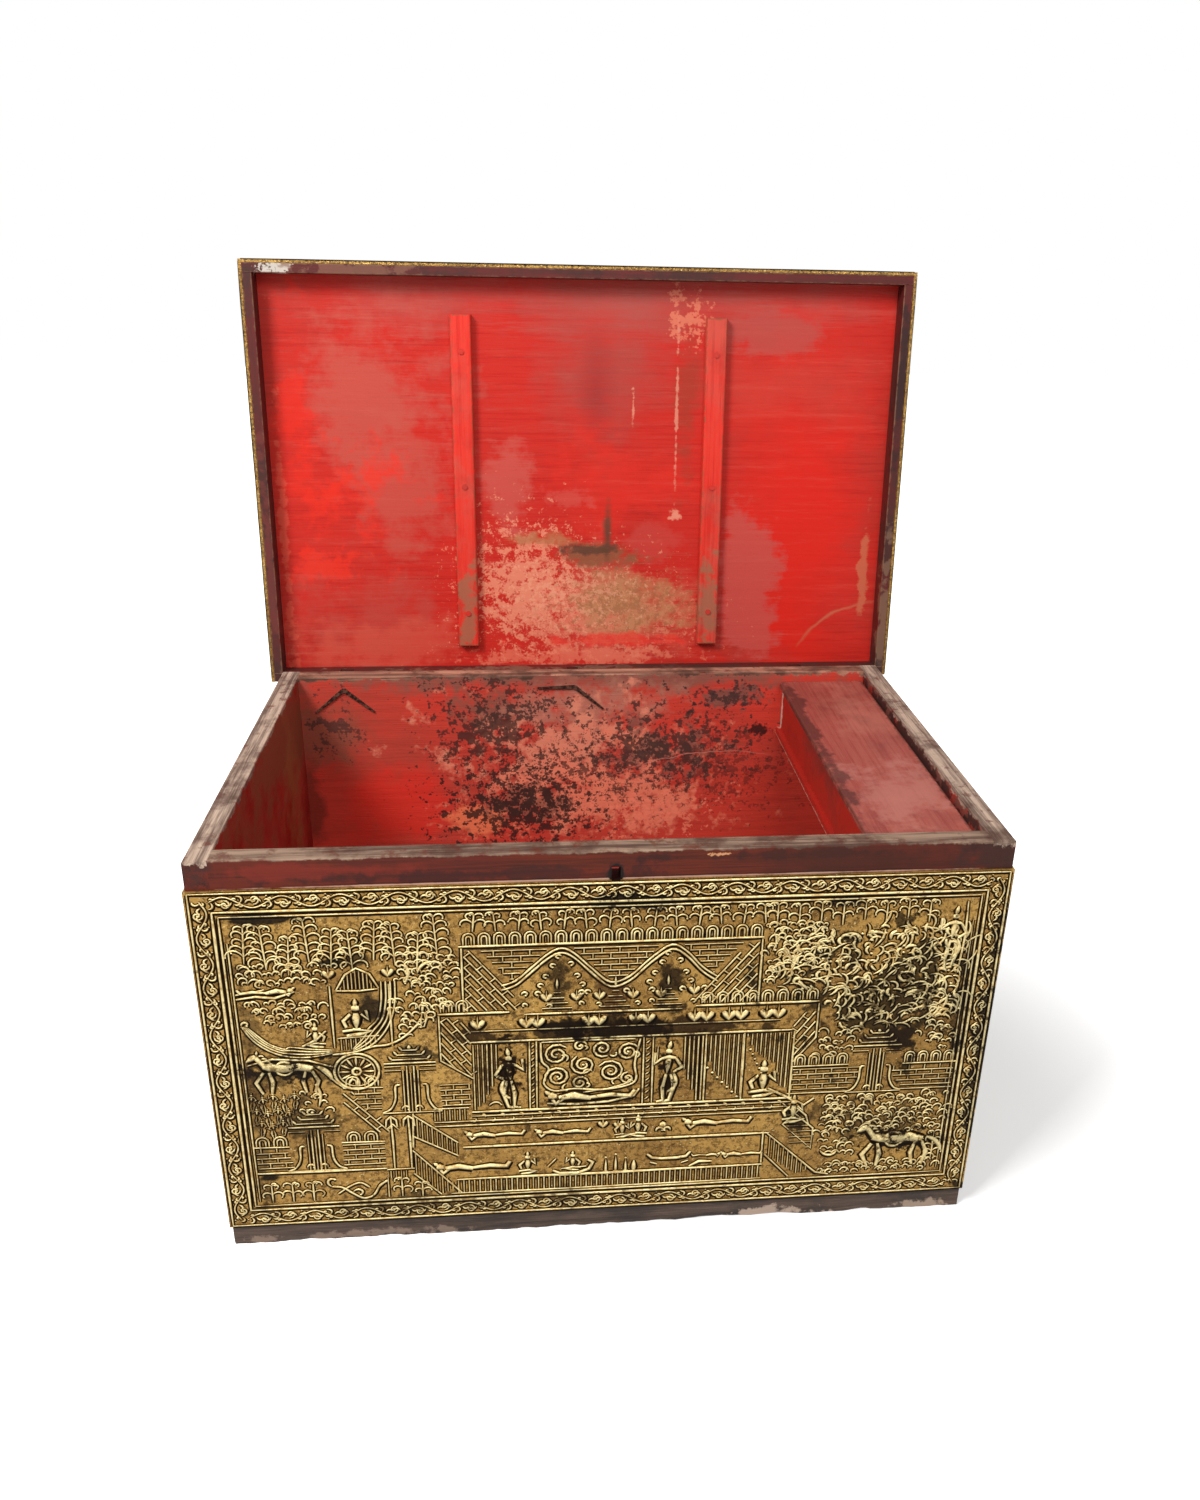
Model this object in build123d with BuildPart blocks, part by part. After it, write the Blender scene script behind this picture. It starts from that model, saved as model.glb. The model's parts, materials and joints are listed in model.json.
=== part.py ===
from build123d import *
import os
from math import cos, radians, sin

# A lacquered and gilded manuscript chest with a hinged cap lid, standing open.
# +X runs to the right, +Y to the back and +Z up. The origin is the centre of the underside.

# Driving sizes of the box
box_width = 900.0
box_depth = 556.0
box_height = 530.0
wall = 26.0
bottom_thick = 30.0
bottom_seam = 0.4
bottom_seam_shift = 36.0
band_height = 35.0
gesso = 2.5
edge_round = 1.5

# Driving sizes of the lid
lid_open_angle = 94.7
panel_thick = 17.0
rail_thick = 13.0
back_rail_thick = 14.0
lip_drop = 29.2
lip_round = 1.2
rim_gap = 2.0
back_rim_gap = 4.0
seat_gap = 0.3
lid_gesso = 4.0
lid_top_gesso = 2.5

# Battens under the lid
batten_width = 30.0
batten_thick = 13.0
batten_round = 3.0
batten_left_space = 276.0
batten_right_space = 264.0
batten_front_clearance = 21.0
batten_back_clearance = 5.0
batten_nail_count = 3
batten_nail_inset = 50.0

# Snipe hinges, each a pair of linked iron eyes
hinge_left_space = 65.0
hinge_centre_shift = -18.0
hinge_till_space = 17.0
pivot_depth = 10.0
pivot_inset = 0.5
eye_wire = 1.5
box_eye_radius = 5.0
link_play = 0.4
stem_width = 6.0
stem_thick = 3.0
hinge_slot = 20.0
hinge_slot_gap = 1.2
lid_stem_angle = 65.0
lid_stem_cover = 5.0
leg_thick = 2.6
leg_root_width = 6.0
leg_tip_width = 2.4
leg_length = 56.0
left_eye_leg_turns = (220.0, -40.0)
centre_eye_leg_turns = (181.0, -40.0)
right_eye_leg_turns = (-10.0, -62.0)
iron_fit = 0.12

# Lock slot in the front
lock_x = 4.5
lock_width = 10.0
lock_height = 17.0
lock_below_rim = 28.0

# Till at the right end
till_width = 131.0
till_wall_gap = 4.0
till_cover_thick = 8.0
till_cover_below_rim = 14.0
till_overhang = 7.0
till_side_thick = 9.0
till_bottom_thick = 9.0
till_depth = 68.0
till_front_gap = 1.5
till_back_gap = 4.5
till_corner_cut = 6.0
till_corner_round = 4.0
housing = 5.0
housing_fit = 0.2
pivot_pin_radius = 3.2
pivot_pin_length = 8.0
pivot_pin_inset = 8.0
pivot_fit = 0.3

# Pegs and nails
peg_radius = 4.0
peg_length = 62.0
peg_fit = 0.05
corner_peg_count = 5
corner_peg_inset = 45.0
bottom_peg_radius = 4.5
bottom_peg_rise = 40.0
bottom_peg_long_count = 5
bottom_peg_short_count = 4
bottom_peg_inset = 70.0
nail_radius = 1.4
nail_head_radius = 4.0
nail_head_thick = 1.6
nail_fit = 0.05
rail_nail_length = 32.0
rail_nail_long_count = 6
rail_nail_short_count = 4
rail_nail_inset = 60.0
batten_nail_length = 24.0

overrun = 1.0

# Places worked out from the sizes above
half_width = box_width / 2
half_depth = box_depth / 2
front = -half_depth
back = half_depth
rim = box_height
floor_top = bottom_thick
inner_x = half_width - wall
inner_front = front + wall
inner_back = back - wall
gesso_top = rim - band_height

pivot_out = back_rim_gap + back_rail_thick - pivot_inset
pivot_down = lip_drop - pivot_depth
pivot_y = back + pivot_out
pivot_z = rim - pivot_down

# The lid's own frame lies on the pivot line. Its axes match the box's when the lid is shut.
lid_frame = Plane(
    origin=(0, pivot_y, pivot_z),
    x_dir=(1, 0, 0),
    z_dir=(0, sin(radians(lid_open_angle)), cos(radians(lid_open_angle))),
)
panel_under = pivot_down + seat_gap
panel_top = panel_under + panel_thick
lip = panel_under - lip_drop
lid_half = half_width + rim_gap + rail_thick
lid_back = pivot_inset
lid_front = -(pivot_out + box_depth + rim_gap + rail_thick)
back_rail_inner = lid_back - back_rail_thick
front_rail_inner = lid_front + rail_thick
side_rail_inner = lid_half - rail_thick

till_left = inner_x - till_width
till_right = inner_x - till_wall_gap
cover_top = rim - till_cover_below_rim
cover_under = cover_top - till_cover_thick
side_left = till_left + till_overhang
side_right = side_left + till_side_thick
side_top = cover_under - seat_gap
till_floor = side_top - till_depth
till_under = till_floor - till_bottom_thick
pin_x = till_right - pivot_pin_inset
pin_z = cover_under + till_cover_thick / 2

hinge_places = (hinge_left_space - inner_x, hinge_centre_shift, side_right + hinge_till_space)
hinge_names = ("left", "centre", "right")
leg_turns = (left_eye_leg_turns, centre_eye_leg_turns, right_eye_leg_turns)
lid_eye_radius = 2 * eye_wire + link_play
lid_stem_y = cos(radians(lid_stem_angle))
lid_stem_z = sin(radians(lid_stem_angle))
lid_stem_end = (panel_top - lid_stem_cover) / lid_stem_z


def middle(span):
    return (span[0] + span[1]) / 2


def length(span):
    return span[1] - span[0]


def slab(x, y, z, mode=Mode.ADD):
    """A box between the low and high values of x, y and z."""
    with Locations((middle(x), middle(y), middle(z))):
        Box(length(x), length(y), length(z), mode=mode)


def spread(low, high, count):
    """Evenly spaced places from low to high."""
    return [low + (high - low) * i / (count - 1) for i in range(count)]


def pegs_along(direction, places, radius, peg, mode=Mode.ADD):
    """Round pegs, each starting at its place and running along a direction."""
    for place in places:
        with Locations(Plane(origin=place, z_dir=direction)):
            Cylinder(radius, peg, align=(Align.CENTER, Align.CENTER, Align.MIN), mode=mode)


def finish(part, name):
    part.part.label = name
    export_step(part.part, f"parts/{name}.step")


# Peg and nail places
corner_peg_heights = spread(floor_top + corner_peg_inset, rim - corner_peg_inset, corner_peg_count)
wall_centres = (front + wall / 2, back - wall / 2)
left_pegs = [(-half_width, y, z) for y in wall_centres for z in corner_peg_heights]
right_pegs = [(half_width, y, z) for y in wall_centres for z in corner_peg_heights]
long_peg_places = spread(-half_width + bottom_peg_inset, half_width - bottom_peg_inset, bottom_peg_long_count)
short_peg_places = spread(front + bottom_peg_inset, back - bottom_peg_inset, bottom_peg_short_count)
bottom_pegs = [(x, y, 0) for x in long_peg_places for y in wall_centres]
bottom_pegs += [(x, y, 0) for x in (-half_width + wall / 2, half_width - wall / 2) for y in short_peg_places]
bottom_peg_length = bottom_thick + bottom_peg_rise

rail_long = spread(-lid_half + rail_nail_inset, lid_half - rail_nail_inset, rail_nail_long_count)
rail_short = spread(lid_front + rail_nail_inset, lid_back - rail_nail_inset, rail_nail_short_count)
rail_nails = [(x, lid_front + rail_thick / 2, panel_top) for x in rail_long]
rail_nails += [(x, lid_back - back_rail_thick / 2, panel_top) for x in rail_long]
rail_nails += [
    (x, y, panel_top) for x in (-lid_half + rail_thick / 2, lid_half - rail_thick / 2) for y in rail_short
]

batten_back = -(pivot_out + wall + batten_back_clearance)
batten_front = -(pivot_out + box_depth - wall - batten_front_clearance)
batten_under = panel_under - batten_thick
batten_left_x = batten_left_space - side_rail_inner
batten_right_x = side_rail_inner - batten_right_space
batten_nails = [
    (x, y, batten_under)
    for x in (batten_left_x, batten_right_x)
    for y in spread(batten_front + batten_nail_inset, batten_back - batten_nail_inset, batten_nail_count)
]


def lock_cut(y_span):
    slab(
        (lock_x - lock_width / 2, lock_x + lock_width / 2),
        y_span,
        (rim - lock_below_rim - lock_height / 2, rim - lock_below_rim + lock_height / 2),
        mode=Mode.SUBTRACT,
    )


def till_housings(face, outward):
    """Grooves for the till's boards and a socket for its cover's pin, cut in a wall's inner face."""
    y = sorted((face - outward * overrun, face + outward * (housing + housing_fit)))
    slab(
        (side_left - housing_fit, side_right + housing_fit),
        y,
        (till_floor - housing_fit, side_top + housing_fit),
        mode=Mode.SUBTRACT,
    )
    slab(
        (till_left - housing_fit, inner_x + overrun),
        y,
        (till_under - housing_fit, till_floor + housing_fit),
        mode=Mode.SUBTRACT,
    )
    pegs_along(
        (0, outward, 0),
        [(pin_x, face - outward * overrun, pin_z)],
        pivot_pin_radius + pivot_fit,
        pivot_pin_length + 2 * overrun,
        mode=Mode.SUBTRACT,
    )


def rim_round(part):
    """Eased edges along a wall board's top."""
    edges = part.edges().filter_by(Plane.XY).group_by(Axis.Z)[-1]
    fillet(edges.sort_by(SortBy.LENGTH)[-2:], edge_round)


os.makedirs("parts", exist_ok=True)

# Box walls: the side boards run the full depth, and the front and back boards stand between them
for name, sign, pegs in (("left_board", -1, left_pegs), ("right_board", 1, right_pegs)):
    with BuildPart() as side_board:
        slab(sorted((sign * inner_x, sign * half_width)), (front, back), (floor_top, rim))
        rim_round(side_board)
        pegs_along((-sign, 0, 0), pegs, peg_radius + peg_fit, peg_length, mode=Mode.SUBTRACT)
        side_sockets = [p for p in bottom_pegs if abs(p[0]) > inner_x and p[0] * sign > 0]
        pegs_along((0, 0, 1), side_sockets, bottom_peg_radius + peg_fit, bottom_peg_length + overrun,
                   mode=Mode.SUBTRACT)
    finish(side_board, name)

for name, y_span, face, outward in (
    ("front_board", (front, inner_front), inner_front, -1),
    ("back_board", (inner_back, back), inner_back, 1),
):
    with BuildPart() as wall_board:
        slab((-inner_x, inner_x), y_span, (floor_top, rim))
        rim_round(wall_board)
        pegs_along((1, 0, 0), left_pegs, peg_radius + peg_fit, peg_length + overrun, mode=Mode.SUBTRACT)
        pegs_along((-1, 0, 0), right_pegs, peg_radius + peg_fit, peg_length + overrun, mode=Mode.SUBTRACT)
        wall_sockets = [p for p in bottom_pegs if y_span[0] < p[1] < y_span[1] and abs(p[0]) < inner_x]
        pegs_along((0, 0, 1), wall_sockets, bottom_peg_radius + peg_fit, bottom_peg_length + overrun,
                   mode=Mode.SUBTRACT)
        till_housings(face, outward)
        if outward < 0:
            lock_cut((front - overrun, inner_front + overrun))
        else:
            for x in hinge_places:
                slab(
                    (x - stem_width / 2 - iron_fit, x + stem_width / 2 + iron_fit),
                    (inner_back - overrun, back + overrun),
                    (pivot_z - stem_thick / 2 - iron_fit, pivot_z + stem_thick / 2 + iron_fit),
                    mode=Mode.SUBTRACT,
                )
    finish(wall_board, name)

# Bottom planks, which show as a strip under the walls
for name, y_span in (
    ("bottom_plank_front", (front, -bottom_seam_shift - bottom_seam)),
    ("bottom_plank_rear", (-bottom_seam_shift, back)),
):
    with BuildPart() as plank:
        slab((-half_width, half_width), y_span, (0, floor_top))
        plank_pegs = [p for p in bottom_pegs if y_span[0] < p[1] < y_span[1]]
        pegs_along((0, 0, 1), [(x, y, -overrun) for x, y, z in plank_pegs], bottom_peg_radius + peg_fit,
                   bottom_thick + 2 * overrun, mode=Mode.SUBTRACT)
    finish(plank, name)

with BuildPart() as corner_pegs:
    pegs_along((1, 0, 0), left_pegs, peg_radius, peg_length)
    pegs_along((-1, 0, 0), right_pegs, peg_radius, peg_length)
finish(corner_pegs, "corner_pegs")

with BuildPart() as bottom_peg_set:
    pegs_along((0, 0, 1), bottom_pegs, bottom_peg_radius, bottom_peg_length)
finish(bottom_peg_set, "bottom_pegs")

# Gilded gesso ground on the front and the two ends, below the plain band
with BuildPart() as front_gilding:
    slab((-half_width - gesso, half_width + gesso), (front - gesso, front), (floor_top, gesso_top))
    lock_cut((front - gesso - overrun, front + overrun))
finish(front_gilding, "front_gilding")

for name, sign in (("left_gilding", -1), ("right_gilding", 1)):
    with BuildPart() as end_gilding:
        slab(sorted((sign * half_width, sign * (half_width + gesso))), (front, back), (floor_top, gesso_top))
    finish(end_gilding, name)

# Till: a side board and a floor housed in the walls, and a cover that turns on two pins
with BuildPart() as till_side:
    slab((side_left, side_right), (inner_front - housing, inner_back + housing), (till_floor, side_top))
finish(till_side, "till_side_board")

with BuildPart() as till_bottom:
    slab(
        (till_left, inner_x - housing_fit),
        (inner_front - housing, inner_back + housing),
        (till_under, till_floor),
    )
finish(till_bottom, "till_bottom_board")

cover_front = inner_front + till_front_gap
cover_back = inner_back - till_back_gap
with BuildPart() as till_cover:
    slab((till_left, till_right), (cover_front, cover_back), (cover_under, cover_top))
    upright = till_cover.edges().filter_by(Axis.Z)
    chamfer(upright.sort_by(Axis.X)[:2].sort_by(Axis.Y)[-1], till_corner_cut)
    fillet(till_cover.edges().filter_by(Axis.Z).sort_by(Axis.X)[-2:], till_corner_round)
    fillet(till_cover.edges().filter_by(Axis.Y).group_by(Axis.X)[0], edge_round)
    pegs_along((0, -1, 0), [(pin_x, cover_front + overrun, pin_z)], pivot_pin_radius,
               overrun + till_front_gap + pivot_pin_length)
    pegs_along((0, 1, 0), [(pin_x, cover_back - overrun, pin_z)], pivot_pin_radius,
               overrun + till_back_gap + pivot_pin_length)
finish(till_cover, "till_cover")

# Box half of each hinge: a flat ring outside the back, a stem through it and two legs clinched inside
for name, x, turns in zip(hinge_names, hinge_places, leg_turns):
    centre_y = pivot_y - box_eye_radius
    leg_y = inner_back - leg_thick
    with BuildPart() as box_eye:
        with Locations((x, centre_y, pivot_z)):
            Torus(box_eye_radius, eye_wire)
        slab(
            (x - stem_width / 2, x + stem_width / 2),
            (leg_y, centre_y - box_eye_radius + eye_wire / 2),
            (pivot_z - stem_thick / 2, pivot_z + stem_thick / 2),
        )
        for turn in turns:
            leg_plane = Plane(origin=(x, inner_back, pivot_z), x_dir=(1, 0, 0), z_dir=(0, -1, 0))
            with BuildSketch(leg_plane):
                with BuildLine(Location((0, 0, 0), (0, 0, 1), turn)):
                    Polyline(
                        (0, -leg_root_width / 2),
                        (leg_length, -leg_tip_width / 2),
                        (leg_length, leg_tip_width / 2),
                        (0, leg_root_width / 2),
                        close=True,
                    )
                make_face()
            extrude(amount=leg_thick)
    finish(box_eye, f"box_hinge_eye_{name}")

# Lid half of each hinge: an upright ring on the pivot line and a stem driven up through rail and panel
lid_stem_plane = Plane(
    origin=lid_frame.from_local_coords((0, 0, 0)),
    x_dir=(1, 0, 0),
    z_dir=lid_frame.from_local_coords((0, -lid_stem_y, lid_stem_z)) - lid_frame.from_local_coords((0, 0, 0)),
)
for name, x in zip(hinge_names, hinge_places):
    with BuildPart(lid_frame) as lid_eye:
        with Locations(Location((x, 0, 0), (0, 90, 0))):
            Torus(lid_eye_radius, eye_wire)
        with BuildSketch(lid_stem_plane.offset(lid_eye_radius - eye_wire / 2)):
            with Locations((x, 0)):
                Rectangle(stem_width, stem_thick)
        extrude(amount=lid_stem_end - lid_eye_radius + eye_wire / 2)
    finish(lid_eye, f"lid_hinge_eye_{name}")


# Lid panel and rails
with BuildPart(lid_frame) as lid_panel:
    slab((-lid_half, lid_half), (lid_front, lid_back), (panel_under, panel_top))
    pegs_along((0, 0, -1), rail_nails, nail_radius + nail_fit, panel_thick + overrun, mode=Mode.SUBTRACT)
    pegs_along((0, 0, -1), rail_nails, nail_head_radius + nail_fit, nail_head_thick + nail_fit,
               mode=Mode.SUBTRACT)
    pegs_along((0, 0, 1), batten_nails, nail_radius + nail_fit, batten_nail_length + nail_fit,
               mode=Mode.SUBTRACT)
    with BuildSketch(lid_stem_plane):
        with Locations(*[(x, 0) for x in hinge_places]):
            Rectangle(stem_width + 2 * iron_fit, stem_thick + 2 * iron_fit)
    extrude(amount=lid_stem_end + iron_fit, mode=Mode.SUBTRACT)
finish(lid_panel, "lid_panel")

for name, x_span, y_span in (
    ("lid_front_rail", (-lid_half, lid_half), (lid_front, front_rail_inner)),
    ("lid_back_rail", (-lid_half, lid_half), (back_rail_inner, lid_back)),
    ("lid_left_rail", (-lid_half, -side_rail_inner), (front_rail_inner, back_rail_inner)),
    ("lid_right_rail", (side_rail_inner, lid_half), (front_rail_inner, back_rail_inner)),
):
    with BuildPart(lid_frame) as rail:
        slab(x_span, y_span, (lip, panel_under))
        lip_edges = rail.edges().group_by(Axis(lid_frame.origin, lid_frame.z_dir))[0]
        fillet(lip_edges.sort_by(SortBy.LENGTH)[-2:], lip_round)
        pegs_along((0, 0, -1), rail_nails, nail_radius + nail_fit, rail_nail_length + nail_fit,
                   mode=Mode.SUBTRACT)
        if name == "lid_back_rail":
            for x in hinge_places:
                slab(
                    (x - hinge_slot / 2, x + hinge_slot / 2),
                    (back_rail_inner - overrun, lid_back + overrun),
                    (lip - overrun, lid_eye_radius + eye_wire + hinge_slot_gap),
                    mode=Mode.SUBTRACT,
                )
            with BuildSketch(lid_stem_plane):
                with Locations(*[(x, 0) for x in hinge_places]):
                    Rectangle(stem_width + 2 * iron_fit, stem_thick + 2 * iron_fit)
            extrude(amount=lid_stem_end + iron_fit, mode=Mode.SUBTRACT)
    finish(rail, name)

with BuildPart(lid_frame) as rail_nail_set:
    pegs_along((0, 0, -1), rail_nails, nail_radius, rail_nail_length)
    pegs_along((0, 0, -1), rail_nails, nail_head_radius, nail_head_thick)
finish(rail_nail_set, "lid_rail_nails")

# Battens across the underside of the lid, nailed from below
for name, x in (("lid_batten_left", batten_left_x), ("lid_batten_right", batten_right_x)):
    with BuildPart(lid_frame) as batten:
        slab(
            (x - batten_width / 2, x + batten_width / 2),
            (batten_front, batten_back),
            (batten_under, panel_under),
        )
        along_lid = batten.edges().filter_by(Axis(lid_frame.origin, lid_frame.y_dir))
        fillet(along_lid.sort_by(Axis(lid_frame.origin, lid_frame.z_dir))[:2], batten_round)
        pegs_along((0, 0, 1), batten_nails, nail_radius + nail_fit, batten_nail_length, mode=Mode.SUBTRACT)
    finish(batten, name)

with BuildPart(lid_frame) as batten_nail_set:
    pegs_along((0, 0, 1), batten_nails, nail_radius, batten_nail_length)
    pegs_along((0, 0, -1), batten_nails, nail_head_radius, nail_head_thick)
finish(batten_nail_set, "lid_batten_nails")

# Gilded gesso on the lid: a top sheet, and strips on the front and the two ends
strip_x = lid_half + lid_gesso
strip_front = lid_front - lid_gesso
for name, x_span, y_span, z_span in (
    ("lid_top_gilding", (-strip_x, strip_x), (strip_front, lid_back), (panel_top, panel_top + lid_top_gesso)),
    ("lid_front_gilding", (-strip_x, strip_x), (strip_front, lid_front), (lip, panel_top)),
    ("lid_left_gilding", (-strip_x, -lid_half), (lid_front, lid_back), (lip, panel_top)),
    ("lid_right_gilding", (lid_half, strip_x), (lid_front, lid_back), (lip, panel_top)),
):
    with BuildPart(lid_frame) as lid_gilding:
        slab(x_span, y_span, z_span)
    finish(lid_gilding, name)
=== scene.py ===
import json
import logging
import math
import random
from collections.abc import Callable, Iterator
from dataclasses import dataclass, field
from enum import Enum

import bmesh
import bpy
from bpy.types import Material, NodeTree
from bpy.types import NodeSocket as Socket
from mathutils import Matrix, Vector, noise


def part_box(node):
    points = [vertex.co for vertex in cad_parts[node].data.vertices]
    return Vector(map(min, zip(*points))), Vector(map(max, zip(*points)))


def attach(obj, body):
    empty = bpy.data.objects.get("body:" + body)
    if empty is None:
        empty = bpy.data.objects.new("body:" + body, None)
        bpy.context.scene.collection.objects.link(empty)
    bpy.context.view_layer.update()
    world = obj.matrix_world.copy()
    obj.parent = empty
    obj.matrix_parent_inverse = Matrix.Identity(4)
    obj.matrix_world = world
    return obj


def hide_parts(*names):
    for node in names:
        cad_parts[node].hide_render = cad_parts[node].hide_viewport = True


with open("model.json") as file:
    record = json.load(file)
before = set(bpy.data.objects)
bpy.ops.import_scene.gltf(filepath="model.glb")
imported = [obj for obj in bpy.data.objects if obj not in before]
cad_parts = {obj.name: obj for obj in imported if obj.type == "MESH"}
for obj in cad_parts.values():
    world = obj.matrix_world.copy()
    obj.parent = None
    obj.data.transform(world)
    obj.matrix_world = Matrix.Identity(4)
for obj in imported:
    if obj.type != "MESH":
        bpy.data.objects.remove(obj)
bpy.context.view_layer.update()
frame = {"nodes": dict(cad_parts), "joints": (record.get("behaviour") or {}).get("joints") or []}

# A lacquered and gilded manuscript chest. Relief is drawn in millimetres, the rest is in metres.
MM = 0.001
POINTS_IN_PIECE = 7700
log = logging.getLogger("chest")

Point = tuple[float, float]
Triple = tuple[float, float, float]
Colour = tuple[float, float, float, float]


def rgb(red: float, green: float, blue: float) -> Colour:
    """Turns a display colour of 0 to 255 into the linear colour that shaders take."""
    def linear(value: float) -> float:
        """Undoes the display curve for one channel."""
        share = value / 255
        return share / 12.92 if share <= 0.04045 else ((share + 0.055) / 1.055) ** 2.4
    return (linear(red), linear(green), linear(blue), 1.0)


class Nodes:
    """A shader tree with short ways to add nodes and join them."""

    def __init__(self, tree: NodeTree) -> None:
        """Keeps the tree that nodes are added to."""
        self.tree = tree

    def add(self, kind: str, inputs: dict | None = None, **settings) -> bpy.types.Node:
        """Adds one node.

        Args:
            kind: The node's type name without its ShaderNode prefix, or the whole name.
            inputs: Values or sockets for its inputs, by name or index.
            **settings: Attributes of the node.

        Returns:
            The new node.
        """
        name = kind if kind.startswith("Node") else "ShaderNode" + kind
        node = self.tree.nodes.new(name)
        for key, value in settings.items():
            setattr(node, key, value)
        for key, value in (inputs or {}).items():
            self.join(value, node.inputs[key])
        return node

    def join(self, value, socket: Socket) -> None:
        """Links a socket to an input, or sets the input's own value."""
        if isinstance(value, Socket):
            self.tree.links.new(value, socket)
        else:
            socket.default_value = value

    def math(self, operation: str, first, second=0.0, clamp: bool = False) -> Socket:
        """Returns the result of one sum on numbers."""
        return self.add("Math", {0: first, 1: second}, operation=operation, use_clamp=clamp).outputs[0]

    def plus(self, first, second) -> Socket:
        """Returns a sum."""
        return self.math("ADD", first, second)

    def minus(self, first, second, clamp: bool = False) -> Socket:
        """Returns a difference."""
        return self.math("SUBTRACT", first, second, clamp)

    def times(self, first, second) -> Socket:
        """Returns a product."""
        return self.math("MULTIPLY", first, second)

    def vector(self, operation: str, first, second=(0.0, 0.0, 0.0)) -> bpy.types.Node:
        """Returns a vector node with its two inputs joined."""
        return self.add("VectorMath", {0: first, 1: second}, operation=operation)

    def blend(self, share, first, second, mode: str = "MIX") -> Socket:
        """Returns a colour between two, by a share from 0 to 1."""
        node = self.add("Mix", {0: share, 6: first, 7: second}, data_type="RGBA", blend_type=mode)
        return node.outputs[2]

    def remap(self, value, low: float, high: float, new_low: float = 0.0, new_high: float = 1.0):
        """Returns a number moved smoothly from one range to another."""
        inputs = {0: value, 1: low, 2: high, 3: new_low, 4: new_high}
        return self.add("MapRange", inputs, interpolation_type="SMOOTHSTEP").outputs[0]

    def noise(self, vector, scale: float, detail: float = 4.0, roughness: float = 0.55):
        """Returns a cloudy value about a half."""
        inputs = {"Vector": vector, "Scale": scale, "Detail": detail, "Roughness": roughness}
        return self.add("TexNoise", inputs).outputs[0]

    def group(self, tree: NodeTree, *values) -> Socket:
        """Places a shared effect, with its inputs in order, and returns its output."""
        node = self.add("Group", node_tree=tree)
        for value, socket in zip(values, node.inputs):
            self.join(value, socket)
        return node.outputs[0]


def new_group(name: str, output: str, vectors: str, numbers: str = "") -> tuple[Nodes, bpy.types.NodeOutputs]:
    """Starts a node group.

    Args:
        name: The group's name.
        output: The name of its one output.
        vectors: The names of its inputs that are vectors.
        numbers: The names of the inputs after them, which are numbers.

    Returns:
        The group's node helper and its inputs, as sockets to join from.
    """
    tree = bpy.data.node_groups.new(name, "ShaderNodeTree")
    for kind, names in (("Vector", vectors), ("Float", numbers)):
        for given in names.split():
            tree.interface.new_socket(given, in_out="INPUT", socket_type="NodeSocket" + kind)
    tree.interface.new_socket(output, in_out="OUTPUT", socket_type="NodeSocketFloat")
    nodes = Nodes(tree)
    return nodes, nodes.add("NodeGroupInput").outputs


@dataclass(frozen=True)
class LidSpace:
    """Where the lid turns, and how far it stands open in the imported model."""

    pivot: Vector
    turn: float

    @classmethod
    def from_joints(cls, joints: list[dict]) -> "LidSpace":
        """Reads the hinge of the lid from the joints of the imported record."""
        hinge = next(joint for joint in joints if joint["name"] == "lid_hinge")
        return cls(Vector(hinge["pos_m"]), math.radians(min(hinge["range_deg"])))

    def matrix(self) -> Matrix:
        """Returns the move from the shut lid's own frame, at its pivot, to the open lid."""
        return Matrix.Translation(self.pivot) @ Matrix.Rotation(self.turn, 4, "X")

    def vector(self, nodes: Nodes) -> Socket:
        """Returns object coordinates turned back to the shut lid."""
        spot = nodes.add("TexCoord").outputs["Object"]
        turned = nodes.add("Mapping", {"Vector": spot}, vector_type="TEXTURE")
        turned.inputs["Location"].default_value = self.pivot
        turned.inputs["Rotation"].default_value = (self.turn, 0.0, 0.0)
        return turned.outputs[0]


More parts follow.
